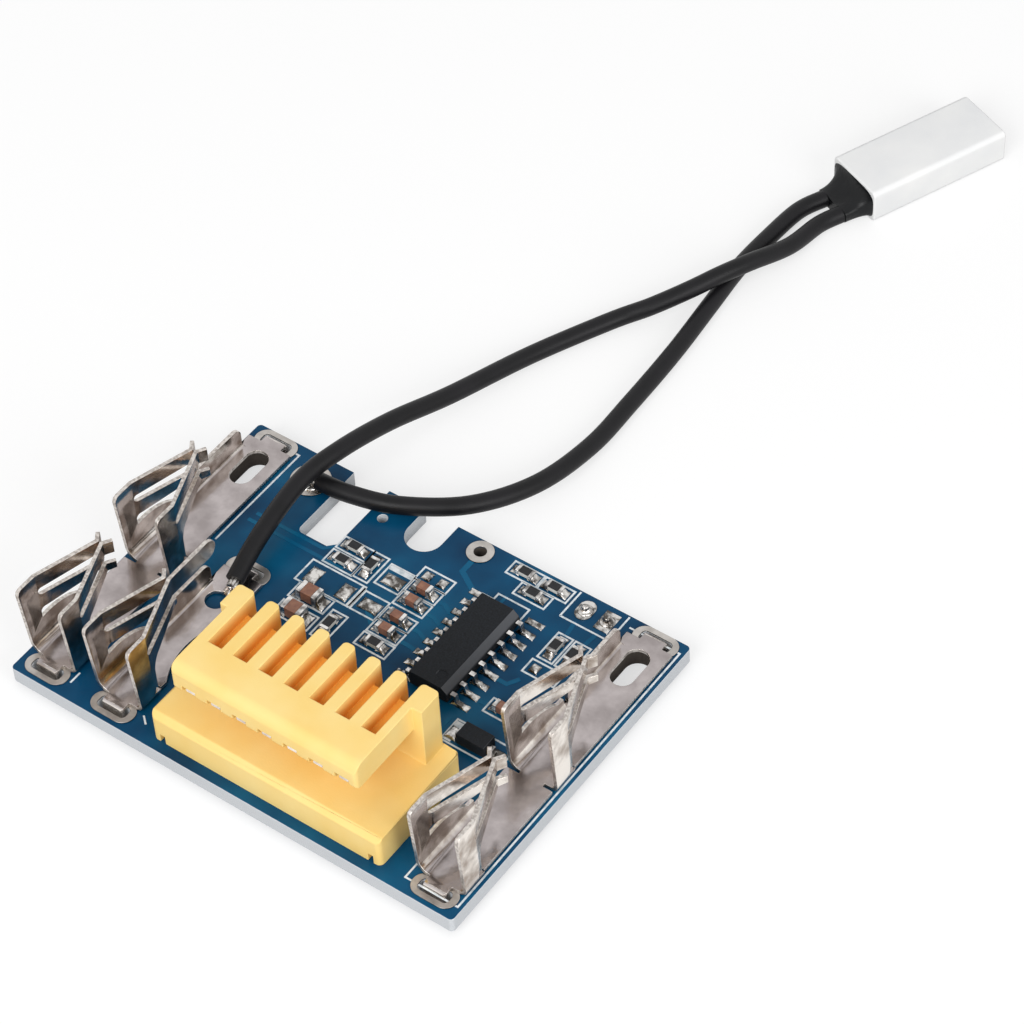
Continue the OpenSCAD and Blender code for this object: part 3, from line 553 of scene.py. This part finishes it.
# %% Copper tracks
tree, surface, place = finish("blue_mask_over_copper", Roughness=0.26, IOR=1.5, Specular_IOR_Level=0.15)
cloud = add(tree, "TexNoise", {"Vector": place, "Scale": per_mm(5.0), "Detail": 3.0})
shade = add(tree, "ValToRGB", {"Fac": cloud.outputs[0]}, stops=[(0.3, "#0a5177"), (0.7, "#106589")])
tree.links.new(shade.outputs[0], surface.inputs["Base Color"])
grain(tree, surface, place, 0.4, 0.008)
tracks = [
    ([[24.4, 24.9], [25.3, 24.9], [26.2, 24.4]], 0.4), ([[24.4, 23.3], [25.4, 23.3], [26.2, 22.9]], 0.4),
    ([[24.4, 21.4], [25.3, 21.4], [26.2, 21.0]], 0.4), ([[24.4, 19.8], [25.3, 19.8], [26.2, 19.7]], 0.4),
    ([[21.6, 24.9], [20.9, 24.4]], 0.5), ([[21.6, 19.9], [19.9, 21.3]], 0.5),
    ([[16.0, 23.3], [6.0, 23.3]], 0.35), ([[14.6, 25.6], [13.2, 24.2], [6.2, 24.2]], 0.35),
    ([[24.3, 29.9], [24.3, 28.6], [26.6, 27.2]], 0.5), ([[28.9, 28.5], [28.9, 27.2]], 0.3),
    ([[33.2, 21.0], [34.3, 21.0], [34.9, 22.0]], 0.4), ([[33.3, 18.4], [34.2, 18.5]], 0.5),
    ([[37.3, 14.6], [38.6, 14.6], [38.9, 16.0]], 0.8), ([[35.1, 29.4], [35.4, 27.4]], 0.4),
    ([[37.3, 29.4], [37.1, 27.4]], 0.4), ([[32.6, 15.7], [32.6, 13.0], [30.0, 12.2]], 0.35),
    ([[18.8, 16.4], [18.8, 13.2], [20.6, 12.0]], 0.35), ([[15.8, 16.2], [15.8, 13.0], [18.0, 12.0]], 0.6)]
copper = gather([ribbon(corners, width, COPPER_HIGH) for corners, width in tracks])
make_piece("masked_copper_tracks", (on_board(copper[0]), copper[1]), "blue_mask_over_copper")
print("tracks", len(tracks))

# %% [markdown]
# ## Tinned copper and solder
# Every land is copper dipped in tin solder, and the joints are the same alloy, frozen from liquid. Fresh
# solder is a bright grey mirror with soft dents and a few dull flux stains. As metal it needs no IOR: its
# colour is its reflection. The dents are bump half a millimetre across, and stains dull it in patches.

# %% Solder finish
def metal(name, low, high, size, rough, dent_size, dent_depth, flat=None):
    """A metal whose colour and polish wander between two shades over patches of the given size in mm.
    A second pair of shades can be given for the faces that lie flat; this is painted light, so that one metal
    is shaded one way where it lies and another where it stands."""
    tree, surface, place = finish(name, Metallic=1.0)
    patch = add(tree, "TexNoise", {"Vector": place, "Scale": per_mm(size), "Detail": 4.0, "Roughness": 0.55})
    shade = add(tree, "ValToRGB", {"Fac": patch.outputs[0]}, stops=[(0.4, low), (0.6, high)]).outputs[0]
    # Painted light: faces that lie flat take their own pair of shades, apart from the upright faces.
    if flat:
        painted_lying_shade = add(tree, "ValToRGB", {"Fac": patch.outputs[0]}, stops=[(0.35, flat[0]), (0.65, flat[1])])
        facing = add(tree, "SeparateXYZ", {"Vector": add(tree, "NewGeometry").outputs["Normal"]})
        level = add(tree, "MapRange", {"Value": facing.outputs["Z"], "From Min": 0.6, "From Max": 0.95})
        shade = add(tree, "Mix", {0: level.outputs[0], 6: shade, 7: painted_lying_shade.outputs[0]},
                    data_type="RGBA").outputs[2]
    polish = add(tree, "MapRange", {"Value": patch.outputs[0], "To Min": rough + 0.15, "To Max": rough})
    tree.links.new(shade, surface.inputs["Base Color"])
    tree.links.new(polish.outputs[0], surface.inputs["Roughness"])
    grain(tree, surface, place, dent_size, dent_depth)


def solder_piece(name, shapes):
    """One piece of solder from its shapes in board millimetres."""
    points, faces = gather(shapes)
    return make_piece(name, (on_board(points), faces), "frozen_tin_solder", sharp=70)


metal("frozen_tin_solder", "#57534f", "#d9d6d2", 0.7, 0.14, 0.45, 0.06)
# Painted shade: the upright faces of the lands, among them the bore of the plated ring, are a dark grey for
# the shade inside the holes; the lying faces keep the tin's own light grey.
metal("tinned_land", "#45413e", "#7f7a76", 1.2, 0.24, 0.8, 0.012, flat=("#aba6a1", "#c6c1bc"))
metal("tin_plated_contact", "#cdbfb2", "#f2e9e0", 1.5, 0.25, 0.3, 0.01)
metal("tin_plated_lead", "#7f7c7a", "#e2dfdc", 0.7, 0.2, 0.3, 0.02)
dress("board_pads", "tinned_land", edge=0.04)
dress("ring_pads", "tinned_land", edge=0.04)
dress("connector_contacts", "tin_plated_contact", edge=0.05)
dress("chip_leads", "tin_plated_lead", edge=0.04)
dress("diode_leads", "tin_plated_lead", edge=0.03)
for kind in ("resistor_ends", "small_capacitor_ends", "large_capacitor_ends"):
    dress(kind, "tin_plated_lead", edge=0.06)
print("finishes so far", len(FINISHES))

# %% [markdown]
# ## Solder fillets
# Solder wets the land and climbs the end of each part in a hollow curve, and its sides fall away rounded.
# A bead is a height over its land: a grid of points whose rim drops to the board, closed below by one flat
# face. Its top is the land's height plus the climb, which fades as the square of the way left to the rim.

# %% Beads
LAND = 0.12


def bead(place, turn, x, y, height):
    """A closed mound: a grid over x by y with its height as an array, turned and set on its place."""
    gx, gy = np.meshgrid(x, y, indexing="ij")
    top = np.stack([gx, gy, height], axis=-1)
    outer = np.pad(top, ((1, 1), (1, 1), (0, 0)), mode="edge")
    outer[[0, -1], :, 2] = -SUNK
    outer[:, [0, -1], 2] = -SUNK
    rows, columns = outer.shape[:2]
    k = np.arange(rows*columns).reshape(rows, columns)
    border = np.concatenate([k[:-1, 0], k[-1, :-1], k[:0:-1, -1], k[0, :0:-1]])
    faces = grid_faces(rows, columns, closed=False) + [border.tolist()[::-1]]
    c, s = math.cos(math.radians(turn)), math.sin(math.radians(turn))
    flat = outer.reshape(-1, 3)
    points = np.column_stack([place[0] + c*flat[:, 0] - s*flat[:, 1],
                              place[1] + s*flat[:, 0] + c*flat[:, 1], flat[:, 2]])
    return points, [face[::-1] for face in faces]


def end_bead(place, turn, length, width, reach, rise, cap=0.15):
    """Solder at one end: it climbs by rise at the part's end and falls to the land's rim at reach."""
    x = np.linspace(length/2 - 0.38, length/2 + reach, 14)
    y = np.linspace(-width/2 - 0.05, width/2 + 0.05, 9)
    way = np.clip((x - length/2)/reach, 0, 1)
    climb = np.where(x < length/2 - cap, 0, rise*(1 - way)**2.2)
    side = 1 - np.abs(2*y/(width + 0.1))**4
    from_side = 1 - np.abs(2*y/(width + 0.1))
    edge = np.minimum(1, (1 - way)*6)[:, None]*np.minimum(1, 3*from_side[None, :] + 0.35)
    height = LAND*(0.45 + 0.55*edge) + climb[:, None]*side[None, :]
    return bead(place, turn, x, y, height)


def pillow(place, width, depth, high, turn=0):
    """Solder on an empty land: a low crown, one minus the fourth powers across and along."""
    x, y = np.linspace(-width/2, width/2, 13), np.linspace(-depth/2, depth/2, 13)
    u, v = np.meshgrid(2*x/width, 2*y/depth, indexing="ij")
    return bead(place, turn, x, y, LAND*0.6 + (high + LAND*0.4)*(1 - u**4)*(1 - v**4))


MIDDLE = (BOARD_X/2, BOARD_Y/2)
RIGHT_X = BOARD_X - 2.7
CHIP = (MIDDLE[0] + 7.54, MIDDLE[1] + 5.4)
BEHIND_Y = BOARD_Y - MIDDLE[1]
COLUMN_X = 23.05
resistors = [(15.5, 9.4, 0), (15.5, 7.7, 0), (17.8, 8.55, 90), (18.75, 1.7, 90), (COLUMN_X, 2.1, 0),
             (CHIP[0] - 0.89, BEHIND_Y - 1.2, 0), (CHIP[0] + 2.06, BEHIND_Y - 1.2, 0),
             (CHIP[0] + 0.91, BEHIND_Y - 2.7, 0), (RIGHT_X - 6.3, 10, 90), (RIGHT_X - 4.6, 10, 90)]
small_capacitors = [(COLUMN_X, 8.8, 0), (COLUMN_X, 7.25, 0), (COLUMN_X, 5.2, 0), (COLUMN_X, 3.65, 0),
                    (RIGHT_X - 5.9, 2.3, 0)]
large_capacitors = [(15.75, 3.1, 0), (15.75, 1, 0)]
diode = (RIGHT_X - 5.75, MIDDLE[1] - 1.6)


def both_ends(places, length, width, reach, rise):
    """Two end beads for every part in a list of places (x, y from the middle, turn)."""
    return [end_bead((x, MIDDLE[1] + y), turn + half, length, width, reach, rise)
            for x, y, turn in places for half in (0, 180)]


beads = both_ends(resistors, 1.6, 0.8, 0.5, 0.36) + both_ends(small_capacitors, 1.6, 0.8, 0.5, 0.55)
beads += both_ends(large_capacitors, 2.0, 1.25, 0.6, 0.75)
beads += [pillow((diode[0] + s*2.15, diode[1]), 1.1, 1.3, 0.16) for s in (-1, 1)]
piece = solder_piece("component_solder_finished", beads)
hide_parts("component_solder")

spare = [pillow((COLUMN_X + s*0.75, MIDDLE[1] + 10.35), 0.85, 0.9, 0.18) for s in (-1, 1)]
spare += [pillow((RIGHT_X - 5.65 + s*0.75, MIDDLE[1] + 7.3), 0.85, 0.9, 0.18) for s in (-1, 1)]
spare += [pillow((x, MIDDLE[1] + 5.2), 1.2, 1.7, 0.22) for x in (14.45, 17.7)]
spare += [pillow((20.3, MIDDLE[1] + y), 1.9, 1.2, 0.22) for y in (8.3, 5.15)]
piece = solder_piece("spare_solder_finished", spare)
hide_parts("spare_solder")
print("beads", len(beads) + len(spare))

# %% [markdown]
# ## Solder at the chip
# Each of the chip's sixteen legs stands on its land in a small bead with a longer toe in front. The same
# grid of heights serves, with its crown under the foot. The lands beyond the last legs stay empty.

# %% Chip solder
LEAD_PITCH, LEAD_SPAN = 1.27, 6.0


def foot_bead(side, k):
    """Solder round a leg: a crown across the land, and a toe that falls as the square of the way out."""
    x = np.linspace(LEAD_SPAN/2 - 1.0, LEAD_SPAN/2 + 0.65, 14)
    y = np.linspace(-0.3, 0.3, 9)
    toe = np.clip((x - LEAD_SPAN/2)/0.6, 0, 1)
    rise = 0.24*(1 - toe)**2*np.clip((x - LEAD_SPAN/2 + 1.0)/0.4, 0, 1)
    edge = np.minimum(1, (1 - toe)*6)
    height = LAND*(0.5 + 0.5*edge[:, None]) + rise[:, None]*(1 - np.abs(y[None, :]/0.3)**3)
    points, faces = bead((0, 0), 0, x, y, height)
    points = points*np.array([side, 1, 1]) + np.array([CHIP[0], CHIP[1] + k*LEAD_PITCH, 0])
    return points, faces if side > 0 else [face[::-1] for face in faces]


beads = [foot_bead(side, k) for side in (-1, 1) for k in np.arange(-3.5, 4)]
beads += [pillow((CHIP[0] + s*(LEAD_SPAN/2 - 0.175), CHIP[1] + 4.5*LEAD_PITCH), 1.65, 0.6, 0.05)
          for s in (-1, 1)]
piece = solder_piece("chip_solder_finished", beads)
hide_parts("chip_solder")
print("beads at the chip", len(beads))

# %% [markdown]
# ## Turned joints
# The joints of the leads and of the missing thermistor are mounds round a pin: a profile of radius against
# height, turned about an upright axis. A ripple with the angle keeps the mound from looking machined.

# %% Mounds
def mound(place, profile, ripple=0.04, sides=28, seed=0.0):
    """Radius r at height z, turned: (r (1 + ripple sin(3a + seed)) cos a, the same with sin a, z)."""
    r, z = np.array(profile, dtype=float).T
    a = (2*np.pi*np.arange(sides)/sides)[None, :]
    wave = 1 + ripple*np.sin(3*a + seed) + ripple*0.6*np.sin(5*a + 2*seed)
    rings = np.stack([place[0] + r[:, None]*wave*np.cos(a), place[1] + r[:, None]*wave*np.sin(a),
                      np.broadcast_to(z[:, None], (len(r), sides))], axis=-1)
    return sleeve(rings)


def hollow_profile(foot, top, low, high, rows=9):
    """A concave flank from the foot's radius to the top's, closed by a small crown."""
    t = np.linspace(0, 1, rows)
    flank = [[top + (foot - top)*(1 - u)**2.2, low + (high - low)*u] for u in t]
    return [[foot, -SUNK], *flank, [top*0.7, high + top*0.25], [top*0.25, high + top*0.35]]


def oblong(place, length, width, high, turn=0):
    """A flat land with round ends: half circles of points joined by straight sides."""
    a = np.linspace(-np.pi/2, np.pi/2, 13)
    half = (length - width)/2
    x = np.concatenate([half + width/2*np.cos(a), -half - width/2*np.cos(a)])
    y = np.concatenate([width/2*np.sin(a), -width/2*np.sin(a)])
    c, s = math.cos(math.radians(turn)), math.sin(math.radians(turn))
    return plate(np.column_stack([place[0] + c*x - s*y, place[1] + s*x + c*y]), high)


THERMISTOR_Y, THERMISTOR_X = BOARD_Y - 1.65, RIGHT_X - 5.475
left_joint, right_joint = (THERMISTOR_X - 1.075, THERMISTOR_Y), (THERMISTOR_X + 1.075, THERMISTOR_Y)
joints = [oblong(left_joint, 2.1, 1.5, LAND, 90), pillow(right_joint, 1.4, 2.1, 0.0),
          mound(left_joint, hollow_profile(0.68, 0.28, LAND, 0.6), seed=0.4),
          mound(right_joint, hollow_profile(0.66, 0.28, LAND, 0.6), seed=2.0)]
piece = solder_piece("thermistor_joints_finished", joints)
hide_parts("thermistor_joints")


def strand_bundle(route, reach, strands=7):
    """Bared copper: seven thin tubes, one in the middle and six round it, back from the wire's start."""
    line = smooth_line(route)[:2]
    heading = (line[1] - line[0])/np.linalg.norm(line[1] - line[0])
    side = np.cross([0, 0, 1.0], heading)
    side /= np.linalg.norm(side)
    rise = np.cross(heading, side)
    shapes = []
    for k in range(strands):
        a = 2*np.pi*k/(strands - 1)
        off = 0.3*(math.cos(a)*side + math.sin(a)*rise) if k else 0*side
        path = line[0] + off + np.linspace(-reach, 0.1, 5)[:, None]*heading
        shapes.append(sleeve(tube(path, 0.165, sides=10)))
    return shapes


SHEET = 0.35
SHEET_TOP = LAND + SHEET
WIRE_HOLE = (7.7, BOARD_Y - 2.8)
charge_joint = (charge_route[0][0] - 0.05, charge_route[0][1] - 0.4)
joints = [mound(charge_joint, [[r, z + SHEET_TOP] for r, z in hollow_profile(0.75, 0.36, 0, 0.72)], seed=1.0),
          mound(WIRE_HOLE, hollow_profile(1.3, 0.42, LAND, 1.0), seed=0.2),
          mound(WIRE_HOLE, [[0.2, -2.15], [0.5, -2.0], [0.59, -1.7], [0.59, 0.1]], ripple=0)]
joints += strand_bundle(charge_route, 0.7) + strand_bundle(board_route, 1.25)
piece = solder_piece("wire_joints_finished", joints)
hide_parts("wire_joints")

# %% [markdown]
# ## The stamped terminals
# The terminals are blanked from thin nickel-plated sheet and folded. The rolled faces are bright, and the
# long soft shadows of what they mirror are painted into their colour as patches a few millimetres across;
# faces that lie flat are painted a duller grey, for the darker light they mirror. The sheared edges are
# rougher, with fine steps where the punch tore through. The steps are drawn as bump a quarter of a millimetre
# wide, coarser than the real ones, so that they show. The light along these edges is painted: a lighter grey
# than the rolled faces with a speckle of painted glints at the same size. Behind a rolled face the sheet is
# always one thickness deep, so a ray shot back through the metal tells the sheared edges, which get a second
# finish.

# %% Nickel finishes
TOUCH, NO_WALL, SHEARED = 0.001, 10.0, 1.7
TAB_ROUND, TAB_WIDTH, TAB_TURN = 0.28, 1.9, 1.2
LEVEL, SAME_HEIGHT = 1e-6, 0.01
# Painted reflections: the upright patches between the two shades and the duller grey of lying faces stand in
# for what the sheet mirrors.
metal("bright_nickel_plated_sheet", "#9b8d81", "#ebe4dc", 2.6, 0.1, 2.0, 0.03, flat=("#9d9594", "#bbb3b2"))
# Painted glints: the sheared edges are a lighter grey than the rolled faces, speckled a quarter of a
# millimetre across.
metal("sheared_nickel_edge_painted_glints", "#a8a09a", "#d9d3cd", 0.26, 0.28, 0.25, 0.006)


def thickness_behind(work):
    """For each face, how far it is from its middle straight through the metal to the other side, in mm."""
    skin = BVHTree.FromBMesh(work)
    found = [skin.ray_cast(face.calc_center_median() - face.normal*TOUCH*MM, -face.normal)
             for face in work.faces]
    return np.array([hit[3]/MM if hit[3] is not None else NO_WALL for hit in found])


def round_tabs(work):
    """Rounds the outer top edge of each soldered tab: the level edges that face away from the strip."""
    outer = []
    for edge in work.edges:
        a, b = edge.verts[0].co, edge.verts[1].co
        height = (a.z - CORNER[2])/MM
        level = abs(a.z - b.z) < LEVEL and abs(a.y - b.y) < LEVEL
        on_top = abs(height - SHEET_TOP) < SAME_HEIGHT
        if level and on_top and edge.calc_length() > TAB_WIDTH*MM and len(edge.link_faces) == 2:
            outward = any(abs(face.normal.y) > 0.9 for face in edge.link_faces)
            if edge.calc_face_angle(0) > TAB_TURN and outward:
                outer.append(edge)
    bmesh.ops.bevel(work, geom=outer, offset=TAB_ROUND*MM, segments=6, profile=0.5, affect="EDGES")
    print("tabs rounded", len(outer))


def stamp(work):
    """Rounds the tabs, then marks the sheared faces for the second finish."""
    round_tabs(work)
    work.faces.ensure_lookup_table()
    for face, deep in zip(work.faces, thickness_behind(work) > SHEARED*SHEET):
        face.material_index = int(deep)
    print("sheared faces", sum(face.material_index for face in work.faces))


for node in ("left_power_terminal", "right_power_terminal", "charge_terminal"):
    piece = dress(node, "bright_nickel_plated_sheet", edge=0.04, sharp=48, rework=stamp)
    piece.data.materials.append(FINISHES["sheared_nickel_edge_painted_glints"])

# %% [markdown]
# ## The connector's housing
# The housing is moulded in yellow polyamide. Light enters it a little and bounces between its walls, which
# turns the slots deep orange. True scattering could do this, at the cost of many more samples. Here a
# deeper colour fades in between the comb's walls, from its two ends, its front, its top and its floor. The
# outer skin is satin with a faint flow cloud.

# %% Housing
CONNECTOR = (MIDDLE[0] + 3.4, 0.95)
COMB_BACK, COMB_MIDDLE_Z = 4.5, 8.0
SLOTS_END, SLOTS_FULL = 8.45, 8.3
FRONT_FADE, TOP_FADE, FLOOR_FROM, FLOOR_TO = 0.05, 1.55, 1.3, 0.9
tree, surface, place = finish("moulded_yellow_polyamide", Roughness=0.45, IOR=1.53, Specular_IOR_Level=0.25)
cloud = add(tree, "TexNoise", {"Vector": place, "Scale": per_mm(4.0), "Detail": 2.0})
skin = add(tree, "ValToRGB", {"Fac": cloud.outputs[0]}, stops=[(0.3, "#fdd882"), (0.7, "#ffe194")])
depth = add(tree, "ValToRGB", {"Fac": cloud.outputs[0]}, stops=[(0.3, "#f6a840"), (0.7, "#fab34e")])
apart = add(tree, "SeparateXYZ", {"Vector": place})
comb_middle = on_board((CONNECTOR[0], CONNECTOR[1] + COMB_BACK, COMB_MIDDLE_Z))
inside = add(tree, "Math", {0: apart.outputs["X"], 1: comb_middle[0]}, operation="SUBTRACT")
inside = add(tree, "Math", {0: inside.outputs[0]}, operation="ABSOLUTE")
fades = [(inside.outputs[0], SLOTS_END*MM, SLOTS_FULL*MM),
         (apart.outputs["Y"], comb_middle[1] - FRONT_FADE*MM, comb_middle[1] + FRONT_FADE*MM),
         (apart.outputs["Z"], comb_middle[2] + TOP_FADE*MM, comb_middle[2]),
         (apart.outputs["Z"], comb_middle[2] - FLOOR_FROM*MM, comb_middle[2] - FLOOR_TO*MM)]
masks = [add(tree, "MapRange", {"Value": value, "From Min": low, "From Max": high})
         for value, low, high in fades]
deep = masks[0]
for limit in masks[1:]:
    deep = add(tree, "Math", {0: deep.outputs[0], 1: limit.outputs[0]}, operation="MULTIPLY")
shade = add(tree, "Mix", {0: deep.outputs[0], 6: skin.outputs[0], 7: depth.outputs[0]}, data_type="RGBA")
tree.links.new(shade.outputs[2], surface.inputs["Base Color"])
grain(tree, surface, place, 0.2, 0.008)
housing = dress("connector_housing", "moulded_yellow_polyamide", edge=0.08, segments=3)
print("housing faces", len(housing.data.polygons))

# %% [markdown]
# ## Chip, diode and the small parts
# Packages are black epoxy filled with silica: matt, charcoal rather than black, with a fine sparkle. The long
# slanted edge of the controller catches the light, so faces that lean right and up get a lighter grey. Chip
# resistors are white alumina with a glassy black coat on top, and ceramic capacitors are brown throughout.

# %% Package finishes
tree, surface, place = finish("silica_filled_black_epoxy", Roughness=0.55, IOR=1.5, Specular_IOR_Level=0.15)
cloud = add(tree, "TexNoise", {"Vector": place, "Scale": per_mm(0.12), "Detail": 3.0})
shade = add(tree, "ValToRGB", {"Fac": cloud.outputs[0]}, stops=[(0.3, "#151719"), (0.72, "#22252a")])
facing = add(tree, "SeparateXYZ", {"Vector": add(tree, "NewGeometry").outputs["Normal"]})
slant = add(tree, "Math", {0: facing.outputs["X"], 1: facing.outputs["Z"]}, operation="MULTIPLY")
level = add(tree, "MapRange", {"Value": slant.outputs[0], "From Min": 0.4, "From Max": 0.46})
shade = add(tree, "Mix", {0: level.outputs[0], 6: shade.outputs[0], 7: colour("#55575b")}, data_type="RGBA")
tree.links.new(shade.outputs[2], surface.inputs["Base Color"])
grain(tree, surface, place, 0.12, 0.012)
dress("controller_chip", "silica_filled_black_epoxy", edge=0.06)
dress("diode_body", "silica_filled_black_epoxy", edge=0.06)

tree, surface, place = finish("glazed_alumina_resistor", Roughness=0.3, IOR=1.6, Specular_IOR_Level=0.25)
facing = add(tree, "SeparateXYZ", {"Vector": add(tree, "NewGeometry").outputs["Normal"]})
coated = add(tree, "MapRange", {"Value": facing.outputs["Z"], "From Min": 0.4, "From Max": 0.7})
speck = add(tree, "TexNoise", {"Vector": place, "Scale": per_mm(0.3), "Detail": 2.0})
coat = add(tree, "ValToRGB", {"Fac": speck.outputs[0]}, stops=[(0.3, "#121316"), (0.7, "#1f2125")])
body = add(tree, "ValToRGB", {"Fac": speck.outputs[0]}, stops=[(0.3, "#c9c8c2"), (0.7, "#dcdbd6")])
skin = add(tree, "Mix", {0: coated.outputs[0], 6: body.outputs[0], 7: coat.outputs[0]}, data_type="RGBA")
tree.links.new(skin.outputs[2], surface.inputs["Base Color"])
grain(tree, surface, place, 0.25, 0.01)
dress("resistor_bodies", "glazed_alumina_resistor", edge=0.04)

tree, surface, place = finish("fired_brown_ceramic", Roughness=0.38, IOR=1.6)
speck = add(tree, "TexNoise", {"Vector": place, "Scale": per_mm(0.4), "Detail": 3.0})
shade = add(tree, "ValToRGB", {"Fac": speck.outputs[0]}, stops=[(0.3, "#7d4f3b"), (0.7, "#9b6a50")])
tree.links.new(shade.outputs[0], surface.inputs["Base Color"])
grain(tree, surface, place, 0.2, 0.01)
for node in ("small_capacitor_bodies", "large_capacitor_bodies"):
    dress(node, "fired_brown_ceramic", edge=0.05)
print("finishes", len(FINISHES))

# %% [markdown]
# ## Floor and light
# The module lies on a plain white bench in soft studio light: two wide lamps, one high on the viewer's left
# and one lower on the right, and an even white surround. The surround shows white to the camera and in
# reflections and lights at a lower level, so that colours come out as they are written and shadows stay.

# %% Bench, surround and lamps
BENCH_GLOW, SURROUND_LIGHT = 0.62, 0.5
LAMP_AIM, LAMP_AWAY, LAMP_SIZE = (0, 0.02, 0), 0.7, 0.4
bench_mesh = bpy.data.meshes.new("bench")
reach = 3.0
bench_mesh.from_pydata([(-reach, -reach, 0), (reach, -reach, 0), (reach, reach, 0), (-reach, reach, 0)], [],
                       [(0, 1, 2, 3)])
bench = bpy.data.objects.new("bench", bench_mesh)
scene.collection.objects.link(bench)
tree, surface, place = finish("white_bench_paint", Roughness=0.8)
surface.inputs["Base Color"].default_value = colour("#aaaaaa")
surface.inputs["Specular IOR Level"].default_value = 0.1
path = add(tree, "LightPath")
seen = add(tree, "Math", {0: path.outputs["Is Camera Ray"], 1: path.outputs["Is Glossy Ray"]},
           operation="MAXIMUM")
lift = add(tree, "Math", {0: seen.outputs[0], 1: BENCH_GLOW}, operation="MULTIPLY")
surface.inputs["Emission Color"].default_value = colour("#ffffff")
tree.links.new(lift.outputs[0], surface.inputs["Emission Strength"])
bench_mesh.materials.append(FINISHES["white_bench_paint"])

world = bpy.data.worlds.new("studio")
scene.world = world
world.use_nodes = True
tree = world.node_tree
tree.nodes.clear()
path = add(tree, "LightPath")
seen = add(tree, "Math", {0: path.outputs["Is Camera Ray"], 1: path.outputs["Is Glossy Ray"]},
           operation="MAXIMUM")
clear = add(tree, "Math", {0: seen.outputs[0], 1: path.outputs["Is Transmission Ray"]}, operation="MAXIMUM")
level_of_light = add(tree, "MapRange", {"Value": clear.outputs[0], "To Min": SURROUND_LIGHT,
                                        "To Max": 1.0})
sky = add(tree, "Background", {"Color": colour("#ffffff"), "Strength": level_of_light.outputs[0]})
add(tree, "OutputWorld", {"Surface": sky.outputs[0]})


def soft_lamp(name, place, aim, size, power):
    """A square area lamp that looks from its place to its aim, both in metres."""
    lamp = bpy.data.objects.new(name, bpy.data.lights.new(name, "AREA"))
    lamp.data.size = size
    lamp.data.energy = power
    direction = np.array(place, dtype=float) - np.array(aim, dtype=float)
    direction /= np.linalg.norm(direction)
    side = np.cross([0, 0, 1.0], direction)
    side /= np.linalg.norm(side)
    rise = np.cross(direction, side)
    lamp.matrix_world = stand_at(place, side, rise, direction)
    scene.collection.objects.link(lamp)


def sky_place(turn, height, distance):
    """A point seen at that azimuth and elevation in degrees, at that distance in metres."""
    t, h = math.radians(turn), math.radians(height)
    return (distance*math.sin(t)*math.cos(h), -distance*math.cos(t)*math.cos(h), distance*math.sin(h))


soft_lamp("key softbox", sky_place(8, 38, LAMP_AWAY), LAMP_AIM, LAMP_SIZE, 2.7)
soft_lamp("fill softbox", sky_place(80, 26, LAMP_AWAY), LAMP_AIM, LAMP_SIZE, 2.0)
scene.view_settings.view_transform = "Standard"
